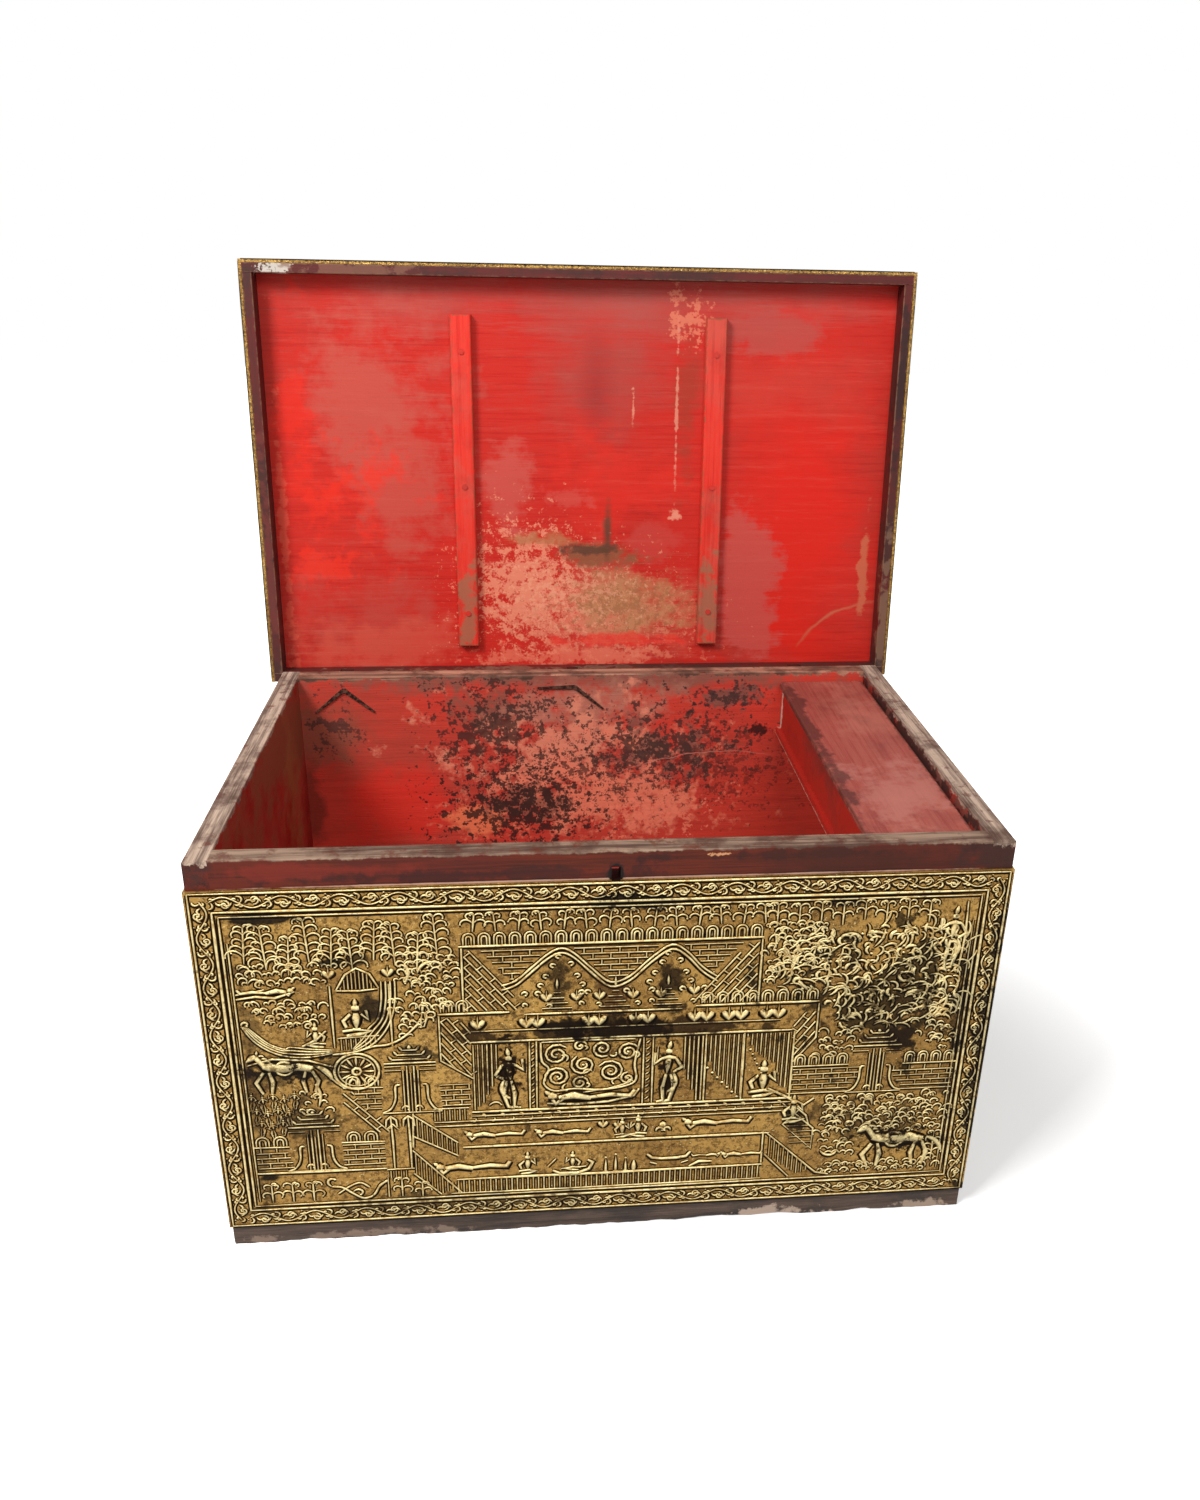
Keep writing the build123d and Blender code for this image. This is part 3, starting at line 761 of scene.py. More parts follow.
@dataclass
class Relief:
    """Moulded lines and figures on one face, drawn in millimetres and built as raised beads."""

    name: str
    seed: int
    leaf_steps: int = 8
    strokes: list[Stroke] = field(default_factory=list)

    def __post_init__(self) -> None:
        """Starts the relief's own sequence of small differences."""
        self.chance = random.Random(self.seed)

    def line(self, points: list[Point], width: float = 1.15, taper: bool = False, soft: bool = False) -> None:
        """Adds one raised line, with softer ends or drawn out to points, and rounded where it is soft."""
        points = rounded(points) if soft else points
        widths = [width * self.chance.uniform(1.05, 1.4) for _ in points]
        widths[0] *= 0.7
        widths[-1] *= 0.35 if taper else 0.7
        self.strokes.append(Stroke(list(points), widths))

    def lines(self, *rows: tuple[float, ...], soft: bool = False) -> None:
        """Adds raised lines, each given as its half width and then x and z of every point."""
        for width, *places in rows:
            self.line(pairs(places), width, soft=soft)

    def hatches(self, *rows: tuple[float, ...]) -> None:
        """Fills outlines with lines, each given as their angle, spacing, half width, tick and the corners."""
        for angle, spacing, width, tick, *places in rows:
            self.hatch(pairs(places), angle, spacing, width, tick)

    def thickets(self, *rows: tuple[float, ...]) -> None:
        """Fills outlines with leaves, each given as their spacing, length and the corners."""
        for spacing, length, *places in rows:
            self.thicket(pairs(places), spacing, length)

    def each(self, draw: Callable, *rows: tuple) -> None:
        """Draws the same thing in several places."""
        for row in rows:
            draw(*row)

    def dot(self, x: float, z: float, size: float = 1.9) -> None:
        """Adds a small round boss."""
        points = [(x - size * 0.8, z), (x, z + 0.01), (x + size * 0.8, z)]
        self.strokes.append(Stroke(points, [size * 0.6, size * 1.1, size * 0.6]))

    def drop(self, start: Point, end: Point, width: float) -> None:
        """Adds a drop shape, thick in its middle and pointed at its end."""
        steps = (0.0, 0.3, 0.65, 1.0)
        widths = [width * 0.7, width * 1.15, width * 0.9, width * 0.3]
        self.strokes.append(Stroke([between(start, end, step) for step in steps], widths))

    def curl(self, start: Point, heading: float, length: float, turn: float, width: float = 1.2,
             eye: bool = True) -> None:
        """Adds a leaf that curls in on itself.

        Args:
            start: Where its stem begins.
            heading: The way it sets off, in degrees.
            length: Its length along the curve.
            turn: How far it turns in all, in degrees.
            width: Its half width.
            eye: Whether it ends in a boss.
        """
        steps = self.leaf_steps
        x, z = start
        points, widths = [start], [width * 0.5]
        for step in range(1, steps + 1):
            share = step / steps
            angle = math.radians(heading + turn * share ** 1.5)
            x += math.cos(angle) * length / steps
            z += math.sin(angle) * length / steps
            points.append((x, z))
            widths.append(width * (0.7 + 0.75 * math.sin(math.pi * min(1.0, share * 0.9))))
        self.strokes.append(Stroke(points, widths))
        if eye:
            self.dot(x, z, width * 1.35)

    def spiral(self, centre: Point, radius: float, start: float, turns: float, width: float = 1.2) -> None:
        """Adds a spiral that runs in from its rim to an eye."""
        steps = max(8, int(abs(turns) * 11))
        shares = [step / steps for step in range(steps + 1)]
        self.line([polar(centre, start + turns * 360 * share, radius * (1 - 0.78 * share))
                   for share in shares], width)
        self.dot(*centre, width * 1.4)

    def ring(self, centre: Point, radius: float, width: float = 1.2) -> None:
        """Adds a ring."""
        steps = max(6, int(radius * 1.4))
        self.line([polar(centre, 360 * step / steps, radius) for step in range(steps + 1)], width)

    def arches(self, left: float, right: float, foot: float, height: float, pitch: float) -> None:
        """Adds a row of small round-headed arches, one inside the other."""
        count = max(1, round((right - left) / pitch))
        pitch = (right - left) / count
        for place in range(count):
            x = left + pitch * (place + 0.5)
            for half, top in ((pitch * 0.36, height), (pitch * 0.17, height - 4.0)):
                crown = [polar((x, foot + top - half), 30 * turn, half) for turn in range(7)]
                self.line([(x + half, foot), *crown, (x - half, foot)], 1.0)

    def hatch(self, outline: list[Point], angle: float, spacing: float, width: float = 0.95,
              tick: float = 0.0) -> None:
        """Fills an outline with parallel lines, joined by short ticks where it is brickwork.

        Args:
            outline: The corners of the area.
            angle: The way the lines run, in degrees.
            spacing: The gap from line to line.
            width: The half width of a line.
            tick: The length of a brick, or 0 for plain lines.
        """
        turn = math.radians(angle)
        levels = [z * math.cos(turn) - x * math.sin(turn) for x, z in outline]
        for row in range(math.floor(min(levels) / spacing) + 1, math.ceil(max(levels) / spacing)):
            level, shift = row * spacing, row % 2 / 2
            places = crossings(outline, turn, level)
            bricks = tick and crossings(outline, turn, level + spacing * 0.9)
            for first, last in zip(places[::2], places[1::2]):
                if last - first < 2.5:
                    continue
                self.line([turned(first + 0.6, level, turn), turned(last - 0.6, level, turn)], width)
                if bricks:
                    for step in range(math.ceil(first / tick - shift), math.ceil(last / tick - shift)):
                        spot = (step + shift) * tick
                        ends = [turned(spot, level, turn), turned(spot, level + spacing, turn)]
                        self.line(ends, width * 0.9)

    def wave(self, first: Point, turn: float, length: float, count: int, reach: float, width: float) -> None:
        """Adds a stem that waves to and fro.

        Args:
            first: Where it begins.
            turn: The way it runs, in radians.
            length: How far it runs.
            count: How many half waves it makes.
            reach: How far it strays to each side.
            width: Its half width.
        """
        steps = count * 10
        stem = [turned(length * step / steps, reach * math.sin(math.pi * step / 10), turn)
                for step in range(steps + 1)]
        for start in range(0, steps, 40):
            self.line([(first[0] + x, first[1] + z) for x, z in stem[start:start + 41]], width)

    def vine(self, first: Point, last: Point, half: float, pitch: float) -> None:
        """Adds a running scroll with a curled leaf in each wave.

        Args:
            first: Where the stem begins.
            last: Where it ends.
            half: Half the height of the band it fills.
            pitch: The length of half a wave.
        """
        length = math.dist(first, last)
        turn = math.atan2(last[1] - first[1], last[0] - first[0])
        count = max(2, round(length / pitch))
        pitch = length / count
        heading = math.degrees(turn)

        def spot(along: float, off: float) -> Point:
            """Returns a point in the band's own frame."""
            x, z = turned(along, off, turn)
            return first[0] + x, first[1] + z

        self.wave(first, turn, length, count, half * 0.72, 0.9)
        for place in range(count):
            side = -1 if place % 2 else 1
            middle, size = pitch * (place + 0.5), half * self.chance.uniform(1.0, 1.25)
            eye = spot(middle + half * 0.2, -side * half * 0.3)
            self.spiral(eye, half * 0.6, heading + side * 100, -side * 1.25, 1.0)
            for along, off, lean, bend, part in ((-0.42, 0.05, -40, -150, 1.0), (-0.24, 0.15, -80, 160, 1.0),
                                                 (0.30, 0.05, -100, -150, 1.0), (-0.46, 0.35, 70, -190, 0.55),
                                                 (0.46, 0.35, 110, 190, 0.55), (0.40, -0.2, -50, 170, 0.75)):
                self.curl(spot(middle + along * pitch, side * off * half), heading + side * lean, size * part,
                          side * bend, 1.0, False)
            for edge in (-0.8, 0.8):
                self.dot(*spot(middle + pitch * 0.5, half * edge), 1.1)

    def border(self, low: Point, high: Point, wide: float, pitch: float) -> tuple[Point, Point]:
        """Adds a running vine between plain lines round a face, or along it where it is narrow.

        Args:
            low: The face's lower corner.
            high: Its upper corner.
            wide: How wide the border is.
            pitch: The length of half a wave.

        Returns:
            The corners of the field inside the border.
        """
        half, middle = wide / 2 - 2.5, wide / 2
        left, foot, right, top = low[0] + middle, low[1] + middle, high[0] - middle, high[1] - middle
        inner = (low[0] + wide, low[1] + wide), (high[0] - wide, high[1] - wide)
        self.each(self.vine, ((left + half, top), (right - half, top), half, pitch),
                  ((left + half, foot), (right - half, foot), half, pitch))
        if high[1] - low[1] > 4 * wide:
            self.each(self.vine, ((left, top + 2), (left, foot - 2), half, pitch),
                      ((right, foot - 2), (right, top + 2), half, pitch))
            (x, z), (far, over) = inner
            self.each(self.fillet, (*inner, 1.5), ((x + 6, z + 6), (far - 6, over - 6), 1.1))
        self.fillet((low[0] + 1, low[1] + 1), (high[0] - 1, high[1] - 1), 1.2)
        return inner

    def fillet(self, low: Point, high: Point, width: float = 1.3) -> None:
        """Adds a plain raised line round a field."""
        corners = [low, (high[0], low[1]), high, (low[0], high[1]), low]
        for first, last in zip(corners, corners[1:]):
            self.line([between(first, last, step / 12) for step in range(13)], width)

    def tree(self, x: float, foot: float, height: float, spread: float, leaning: float = 0.0) -> None:
        """Adds a tree: a stem with curled leaves on both sides and one at its top."""
        chance, top = self.chance, (x + leaning, foot + height)
        self.line([(x, foot), between((x, foot), top, 0.5), top], 1.1)
        tiers = max(2, int(height / 9))
        for tier in range(tiers):
            share = (tier + 0.9) / tiers
            root = between((x, foot), top, share)
            for side in (-1, 1):
                reach = spread * (1.75 - 0.65 * share) * chance.uniform(0.85, 1.2)
                lean = side * chance.uniform(12, 38)
                self.curl(root, 90 - lean, reach, -side * chance.uniform(140, 200), 0.95)
        self.curl(top, 90, spread * 0.8, chance.choice((-1, 1)) * 220, 0.95)

    def across(self, outline: list[Point], rise: float) -> Iterator[tuple[int, float, float, float]]:
        """Yields each level row inside an outline: its number, its height, its start and its end."""
        low, high = min(z for _, z in outline), max(z for _, z in outline)
        for row in range(int((high - low) / rise) + 1):
            z = low + rise * (row + 0.45)
            for first, last in zip(*[iter(crossings(outline, 0.0, z))] * 2):
                yield row, z, first, last

    def thicket(self, outline: list[Point], spacing: float, length: float) -> None:
        """Fills an outline with curled leaves and studs, each a little different."""
        chance = self.chance
        for row, z, x, last in self.across(outline, spacing * 0.8):
            x += spacing * (0.3 + 0.5 * (row % 2))
            while x < last - spacing * 0.2:
                bend, lean = chance.choice((-1, 1)) * chance.uniform(150, 260), chance.uniform(-25, 25)
                spot = (x + chance.uniform(-1.5, 1.5), z + chance.uniform(-2, 2))
                self.curl(spot, 90 + lean, length * chance.uniform(1.0, 1.8), bend, 1.0)
                if chance.random() < 0.4:
                    self.curl(spot, 90 - lean, length * 0.8, -bend, 0.85, False)
                x += spacing * chance.uniform(0.65, 0.95)

    def tangle(self, outline: list[Point], spacing: float, flow: float) -> None:
        """Fills an outline with a throng of bent limbs, ribbons and clouds that stream one way."""
        chance = self.chance
        limb, ribbon = ((50, 130), (9, 16), (1.2, 1.8)), ((-28, 28), (14, 27), (0.85, 1.3))
        for _, z, x, last in self.across(outline, spacing):
            x += spacing * chance.uniform(0.1, 0.9)
            while x < last:
                kind = limb if chance.random() < 0.3 else ribbon
                turn, length, width = (chance.uniform(*span) for span in kind)
                bend = chance.choice((-1, 1)) * chance.uniform(30, 170)
                self.curl((x, z + chance.uniform(-3, 3)), flow + turn, length, bend, width, False)
                if chance.random() < 0.25:
                    self.dot(x + 3, z + 3, 1.9)
                x += spacing * chance.uniform(0.7, 1.3)

    def heart(self, x: float, z: float, size: float = 10.0) -> None:
        """Adds a two-lobed finial such as stands along a roof."""
        for side in (-1, 1):
            self.drop((x + side * size * 0.55, z + size * 0.55), (x, z - size * 0.45), size * 0.28)
        self.drop((x, z), (x, z + size * 1.15), 0.9)

    def posed(self, origin: Point, unit: float, side: int, lines: tuple = (), drops: tuple = (),
              dots: tuple = ()) -> None:
        """Adds the parts of a figure, measured in its own unit.

        Args:
            origin: The point that the parts are measured from.
            unit: The figure's unit in millimetres.
            side: The way it faces, 1 or -1.
            lines: The half width and the points of each limb.
            drops: The width, start and end of each drop.
            dots: The size and place of each boss.
        """
        def put(spot: Point) -> Point:
            """Returns a point of the figure on the face."""
            return origin[0] + side * unit * spot[0], origin[1] + unit * spot[1]

        for size, *spot in dots:
            self.dot(*put(spot), unit * size)
        for width, start, end in drops:
            self.drop(put(start), put(end), unit * width)
        for width, *points in lines:
            self.line([put(point) for point in points], unit * width)

    def standing(self, x: float, foot: float, height: float, side: int = 1) -> None:
        """Adds a standing figure with a pointed headdress and one raised arm."""
        unit = height / 10
        self.posed((x, foot), unit, side, (
            (0.32, (-0.9, 7.2), (0, 7.4), (0.9, 7.2)), (0.3, (0.9, 7.2), (2.0, 6.3), (1.8, 8.2)),
            (0.3, (-0.9, 7.2), (-1.8, 5.7), (-0.7, 4.9)),
            (0.26, (0.3, 4.6), (0.75, 2.4), (0.6, 0.2), (1.5, 0)),
            (0.26, (-0.3, 4.6), (-0.75, 2.4), (-0.2, 0.2), (0.7, 0)),
        ), ((0.3, (0, 8.8), (-0.2, 10)), (0.4, (0, 7.4), (0.2, 4.8))), ((0.5, 0, 8.3),))
        sash = (x - side * unit * 0.6, foot + unit * 4.8)
        self.curl(sash, 90 + side * 150, unit * 3.6, side * 90, unit * 0.24, False)

    def seated(self, x: float, foot: float, height: float, side: int = 1) -> None:
        """Adds a seated figure with crossed legs and bent arms."""
        self.posed((x, foot), height / 7, side, (
            (0.34, (0.8, 4.1), (2.0, 2.9), (1.6, 4.8)), (0.34, (-0.8, 4.1), (-2.0, 2.9), (-1.6, 1.7)),
            (0.34, (-0.6, 1.2), (2.2, 0.9), (0.4, 0.2), (-1.6, 0)), (0.36, (0.6, 1.2), (-2.2, 0.9)),
        ), ((0.38, (0, 5.7), (0, 7)), (0.62, (0, 4.3), (0, 1.4))), ((0.72, 0, 5.2),))

    def lying(self, x: float, z: float, length: float, side: int = 1) -> None:
        """Adds a lying figure, its head at the given point and its feet to one side."""
        self.posed((x, z), length / 10, side, (
            (0.46, (0.8, 0), (2.6, 0.3), (4.6, -0.2)),
            (0.32, (4.4, -0.1), (7.0, 0.2), (9.4, -0.1), (9.9, 0.8)), (0.3, (1.4, 0), (0.4, -0.9), (0, -0.2)),
        ), ((0.3, (-0.3, 0.6), (-0.9, 1.1)),), ((0.62, 0, 0.3),))

    def horse(self, x: float, foot: float, length: float, side: int = 1) -> None:
        """Adds a walking horse with a saddle cloth, its head to one side."""
        unit = length / 10
        legs = tuple((0.3, (leg, 3.8), (leg + bend, 2.0), (leg + bend * 0.3, 0))
                     for leg, bend in ((-3.9, -0.8), (-3.0, 0.5), (2.2, -0.4), (3.0, 1.2)))
        self.posed((x, foot), unit, side, (
            (0.72, (-4, 4.1), (-2, 4.6), (0, 4.3), (2, 4.6), (3, 4.9)), (0.55, (2.6, 4.6), (3.9, 6.5)), *legs,
        ), ((0.5, (3.8, 6.8), (5.2, 5.8)), (0.2, (3.7, 7.0), (3.6, 7.8))))
        for lock in range(4):
            spot = (x + side * unit * (2.3 + lock * 0.4), foot + unit * (5.2 + lock * 0.5))
            self.curl(spot, 90 + side * 60, unit * 0.9, side * 80, unit * 0.13, False)
        tail = (x - side * unit * 4.4, foot + unit * 4.6)
        self.curl(tail, 90 + side * 110, unit * 3.4, side * 60, unit * 0.3, False)
        self.ring((x, foot + unit * 4.4), unit * 1.2, unit * 0.2)

    def wheel(self, centre: Point, radius: float) -> None:
        """Adds a spoked wheel."""
        self.each(self.ring, (centre, radius, 1.5), (centre, radius * 0.82, 0.9), (centre, radius * 0.2, 1.6))
        for angle in range(0, 360, 30):
            self.drop(polar(centre, angle, radius * 0.78), polar(centre, angle, radius * 0.28), 1.5)

    def gate(self, x: float, foot: float, height: float) -> None:
        """Adds a town gate: a crowned lintel, a pair of tall leaves and a curved buttress on each side."""
        lintel = height * 0.74
        for side in (-1, 1):
            crown = tuple((1.5, (half, lintel + rise), (half + 4, lintel + rise + 6))
                          for half, rise in ((20, 5), (14, 11.5), (8, 18)))
            self.posed((x, foot), 1.0, side, (
                (1.3, (0, lintel + 5), (20, lintel + 5)), (1.3, (0, lintel + 11.5), (14, lintel + 11.5)),
                (1.3, (0, lintel + 18), (8, lintel + 18)), (1.6, (0, lintel), (29, lintel)),
                (1.3, (4, lintel - 4), (4, 0)), (1.0, (8.5, lintel - 10), (8.5, 0)), (1.2, (0, 0), (34, 0)),
            ), crown)
            self.hatch([(x + side * across, foot + lintel - drop)
                        for across, drop in ((10, 12), (30, 12), (30, 4), (10, 4))], 0, 5.5, 1.0)
            self.line([(x + side * across, foot + height * share) for across, share in (
                (13, 0.42), (18, 0.4), (19, 0.2), (25, 0.06), (34, 0.01))], 1.2, soft=True)
            self.curl((x + side * 12, foot + 4), 90, 15, side * 200, 1.1)
        self.drop((x, foot + lintel + 20), (x, foot + height), 2.2)
        self.line([(x, foot + lintel - 14), (x, foot)], 1.0)

    def add_beads(self, shape: bmesh.types.BMesh, strokes: list[Stroke], grow: float, extra: float,
                  top: float, sides: int, sink: float = 0.0) -> None:
        """Adds lines to a mesh as beads, flattened at the given height.

        Args:
            shape: The mesh, still lying level.
            strokes: The lines.
            grow: What the widths are multiplied by.
            extra: What is added to them, in millimetres.
            top: How high a bead may stand, in millimetres.
            sides: How finely it is rounded.
            sink: How far it is moved down the face, in millimetres.
        """
        curve = bpy.data.curves.new(self.name + "_beads", "CURVE")
        curve.dimensions = "3D"
        curve.bevel_depth = MM
        curve.bevel_resolution = sides
        curve.use_fill_caps = True
        for stroke in strokes:
            spline = curve.splines.new("POLY")
            spline.points.add(len(stroke.points) - 1)
            for point, (x, z), width in zip(spline.points, stroke.points, stroke.widths):
                point.co = (x * MM, (z - sink) * MM, 0.0, 1.0)
                point.radius = width * grow + extra
        maker = bpy.data.objects.new(self.name + "_beads", curve)
        mesh = bpy.data.meshes.new_from_object(maker)
        bpy.data.objects.remove(maker)
        bpy.data.curves.remove(curve)
        first = len(shape.verts)
        shape.from_mesh(mesh)
        bpy.data.meshes.remove(mesh)
        shape.verts.ensure_lookup_table()
        for vertex in shape.verts[first:]:
            rise = vertex.co.z / MM
            vertex.co.z = (top * math.tanh(rise / top) if rise > 0 else max(rise, -0.8)) * MM

    def build(self, matrix: Matrix, body: str, material: Material) -> None:
        """Makes the drawn lines into meshes of raised beads, in as many pieces as their points need.

        Args:
            matrix: The face's frame, with its origin on the gesso.
            body: The body that the piece rides on.
            material: Its finish.
        """
        parts = math.ceil(sum(len(stroke.points) for stroke in self.strokes) / POINTS_IN_PIECE)
        size = math.ceil(len(self.strokes) / parts)
        for part in range(parts):
            strokes = self.strokes[part * size:(part + 1) * size]
            shape = bmesh.new()
            self.add_beads(shape, strokes, 1.0, 0.0, 1.9, 1)
            # Wide flat skirts, moved down the face, which the gold finish colours dark brown: dirt beside
            # each line and a painted shadow under it.
            self.add_beads(shape, strokes, 1.35, 1.15, 0.14, 0, 0.85)
            bmesh.ops.transform(shape, matrix=matrix, verts=shape.verts)
            for side in shape.faces:
                side.smooth = True
            piece = add_piece(f"{self.name}_{part + 1}" if parts > 1 else self.name, shape, material)
            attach(piece, body)


@dataclass(frozen=True)
class FrontField:
    """The front's relief: a vine border round a palace, two towns and a forest, in millimetres."""

    half_width: float = 449.0
    low: float = 31.5
    high: float = 493.5
    border: float = 24.0
    pitch: float = 31.0

    def draw(self) -> list[Relief]:
        """Draws every part of the front and returns them as reliefs."""
        return [self.frame(), self.palace(), self.palace_rooms(), self.left_forest(), self.left_town(),
                self.right_throng(), self.right_town()]

    def frame(self) -> Relief:
        """Draws the vine border and its fillets."""
        art = Relief("front_border_relief", 11)
        art.border((-self.half_width, self.low), (self.half_width, self.high), self.border, self.pitch)
        for side in (-1, 1):
            art.line([(side * (self.half_width - 36), 68 + step * 33) for step in range(12)], 0.9)
        return art

    def palace(self) -> Relief:
        """Draws the palace's walls, roofs, floors and stairs."""
        art = Relief("front_palace_relief", 12)
        art.line([(x, 417) for x in range(-168, 173, 17)], 1.5)
        for shift in (0, -6):
            art.line([(-122, 364 + shift), (-106, 370 + shift), (-88, 387 + shift), (-70, 404 + shift),
                         (-55, 411 + shift), (-41, 404 + shift), (-22, 384 + shift), (0, 364 + shift),
                         (22, 371 + shift), (44, 393 + shift), (68, 411 + shift), (86, 401 + shift),
                         (104, 380 + shift), (122, 366 + shift)], 1.3, soft=True)
        art.line([(x, 328) for x in range(-193, -97, 16)], 1.4)
        art.line([(x, 324) for x in range(-97, 100, 18)], 1.2)
        art.line([(x, 327) for x in range(99, 244, 18)], 1.4)
        for x in (-72, -38, -12, 26, 96, 58):
            art.heart(x, 345 if abs(x) < 80 else 348)
        for x in (-150, -95, -82, -24, -12, 30, 44, 98, 112, 138, 152, 182, 196):
            art.heart(x, 311, 12.5)
        art.line([(x, 303) for x in range(-158, 216, 17)], 0.9)
        art.line([(x, 288) for x in range(-160, 219, 17)], 1.4)
        for x in (-60, 6, 66):
            for tier, half in enumerate((17, 12, 8, 4)):
                art.line([(x - half, 331 + tier * 7), (x + half, 331 + tier * 7)], 1.2)
            art.drop((x, 358), (x, 372), 1.6)
        for cluster in (-100, -78, -36, -22, 22, 44, 86, 104):
            art.curl((cluster, 350), 90, 13, 230 if cluster % 4 else -230, 1.2)
            art.curl((cluster + 6, 334), 70, 11, -220 if cluster % 4 else 220, 1.1)
        for peak in (-55, 68):
            for x, z, side in ((-14, 374, 1), (14, 374, -1), (-6, 388, 1), (7, 390, -1), (0, 400, 1),
                               (-20, 362, 1), (20, 362, -1)):
                art.curl((peak + x, z), 90 + 20 * side, 12, side * 230, 1.15)
        for level, start, end in ((188, -160, 220), (182, -160, 222), (175, -204, 214), (169, -204, 212)):
            steps = [(start + (end - start) * step / 22, level) for step in range(23)]
            art.line(steps, 1.5 if level == 188 else 1.0)
        for x in range(-156, 216, 11):
            art.curl((x, 179), 60 if x % 2 else -60, 8, 140 if x % 2 else -140, 0.9, False)
        art.line([(x, 136) for x in range(-172, 204, 16)], 1.5)
        art.each(
            art.arches, (-165, 172, 418, 16, 17.2), (-193, -158, 331, 15, 17), (103, 243, 330, 15, 17.4),
        )
        art.lines(
            (1.3, -165, 415, -165, 375, -165, 331), (1.3, 171, 415, 171, 375, 171, 330),
            (1.2, -193, 326, -193, 264, -157, 237), (1.2, 243, 324, 243, 276, 217, 240),
            (1.4, -204, 195, -163, 195), (1.6, -181, 87, -90, 87, 0, 86, 90, 87, 190, 87),
            (1.2, -188, 66, -90, 65, 0, 65, 90, 65, 190, 65), (1.5, -229, 188, -178, 144),
            (1.4, -229, 156, -178, 124), (1.5, -231, 135, -176, 67), (1.4, -231, 100, -200, 66),
            (1.4, -228, 190, -230, 140), (1.5, 193, 136, 258, 70, 275, 66), (1.4, 193, 102, 224, 66),
            (1.4, 189, 138, 189, 90), (1.2, 210, 180, 250, 140, 250, 108, 212, 148, 232, 170),
        )
        art.hatches(
            (0, 7.6, 1.15, 20, -148, 415, -68, 413, -90, 391, -108, 372, -112, 370),
            (0, 7.6, 1.15, 20, -44, 413, 56, 413, 40, 392, 20, 372, 2, 368, -20, 388),
            (0, 7.6, 1.15, 20, 80, 413, 152, 413, 122, 380, 118, 370, 100, 389),
            (-52, 8.6, 1.35, 22, -163, 412, -154, 412, -96, 331, -163, 331),
            (52, 8.6, 1.35, 22, 168, 412, 160, 412, 98, 344, 98, 331, 168, 331),
            (-55, 8.6, 1.35, 20, -191, 326, -158, 312, -158, 238, -193, 263),
            (55, 8.6, 1.35, 20, 240, 322, 215, 300, 217, 240, 242, 276),
            (90, 5.8, 1.0, 0, -204, 194, -163, 194, -163, 177, -204, 177),
            (90, 6.4, 1.15, 0, -181, 86, 190, 86, 190, 66, -186, 66),
            (90, 5.6, 1.0, 0, -229, 187, -178, 143, -178, 124, -229, 156),
            (90, 6.0, 1.0, 0, -230, 134, -178, 76, -200, 66, -230, 100),
            (90, 6.0, 1.0, 0, 196, 134, 252, 78, 236, 68, 196, 100),
            (0, 8.5, 1.0, 0, 212, 178, 250, 140, 250, 108, 222, 118),
        )
        return art

    def palace_rooms(self) -> Relief:
        """Draws the curtains, sleepers and household things inside the palace."""
        art = Relief("front_rooms_relief", 13)
        for x in (-92, -84, 40, 51):
            art.line([(x, 286), (x, 236), (x, 190)], 1.2)
        for z in range(196, 284, 9):
            art.drop((-90, z), (-86, z + 5), 1.0)
            art.drop((43, z), (48, z + 5), 1.0)
        for x, z, radius, start, turns in (
                (-61, 266, 15, 40, 1.7), (-60, 234, 15, 200, -1.8), (-30, 250, 15, 120, 1.8),
                (-8, 272, 12, -60, -1.5), (2, 239, 16, 150, -1.9), (22, 266, 13, 20, 1.7),
                (22, 228, 9, 90, 1.3), (-34, 224, 10, 0, 1.4), (-34, 277, 8, 10, 1.2)):
            art.spiral((x, z), radius, start, turns, 1.35)
            art.curl((x + radius * 0.7, z - radius * 0.7), start, radius, 160, 1.1)
        for step in range(7):
            art.dot(116 + step * 6.2, 238 - step * 7.4, 1.9)
            art.dot(166 + step * 3.0, 262 - step * 7.0, 1.7)
        for x in (113, 158, 217):
            art.line([(x, 286), (x, 240), (x, 189)], 1.3)
        for x, z in ((-2, 108), (10, 112), (22, 106)):
            art.drop((x, 84), (x, z), 1.6)
            art.dot(x, z + 2, 1.7)
            art.line([(x - 3, 88), (x + 3, 88)], 1.3)
        art.hatches(
            (90, 5.2, 1.15, 0, -157, 285, -126, 285, -128, 240, -146, 200, -157, 190),
            (90, 5.2, 1.15, 0, 84, 285, 112, 285, 112, 191, 104, 191, 88, 238),
            (90, 5.4, 1.15, 0, 114, 285, 157, 285, 157, 191, 120, 237),
            (90, 5.4, 1.15, 0, 160, 285, 214, 285, 214, 214, 208, 196, 196, 240, 172, 258),
        )
        art.each(art.standing, (-116, 192, 86, 1), (70, 191, 88, -1))
        art.each(
            art.curl, ((-140, 196), 60, 18, -120, 1.0), ((58, 146), 100, 15, -200, 1.3),
            ((75, 146), 80, 15, 200, 1.3),
        )
        art.lines(
            (1.1, -78, 284, -20, 285, 30, 284), (1.7, -72, 196, -40, 193, 0, 195, 30, 202, 36, 212),
            (1.3, -30, 210, 0, 214, 26, 222), (1.0, 57, 272, 56, 250), (1.7, 190, 204, 216, 188, 226, 180),
            (1.4, -72, 100, -62, 112), (2.0, -66, 94, -58, 89, -36, 88, -22, 94, -18, 104, -24, 108),
            (1.2, -56, 96, -26, 98), (2.0, 48, 112, 54, 106, 66, 104, 84, 104, 96, 106, 101, 113),
            (1.5, 52, 99, 60, 96), (1.5, 90, 96, 98, 99), (1.8, 100, 90, 112, 97, 128, 96),
        )
        art.lines(
            (1.3, -79, 284, -78, 258, -70, 246, -76, 226, -64, 214, -40, 216, -10, 213, 20, 217, 32, 226, 30,
            250, 36, 284),
            soft=True)
        art.each(
            art.lying, (-66, 203, 98, 1), (-164, 153, 66, 1), (-82, 152, 62, 1), (96, 156, 78, 1),
            (-200, 105, 84, 1), (136, 106, 34, -1), (142, 105, 48, 1),
        )
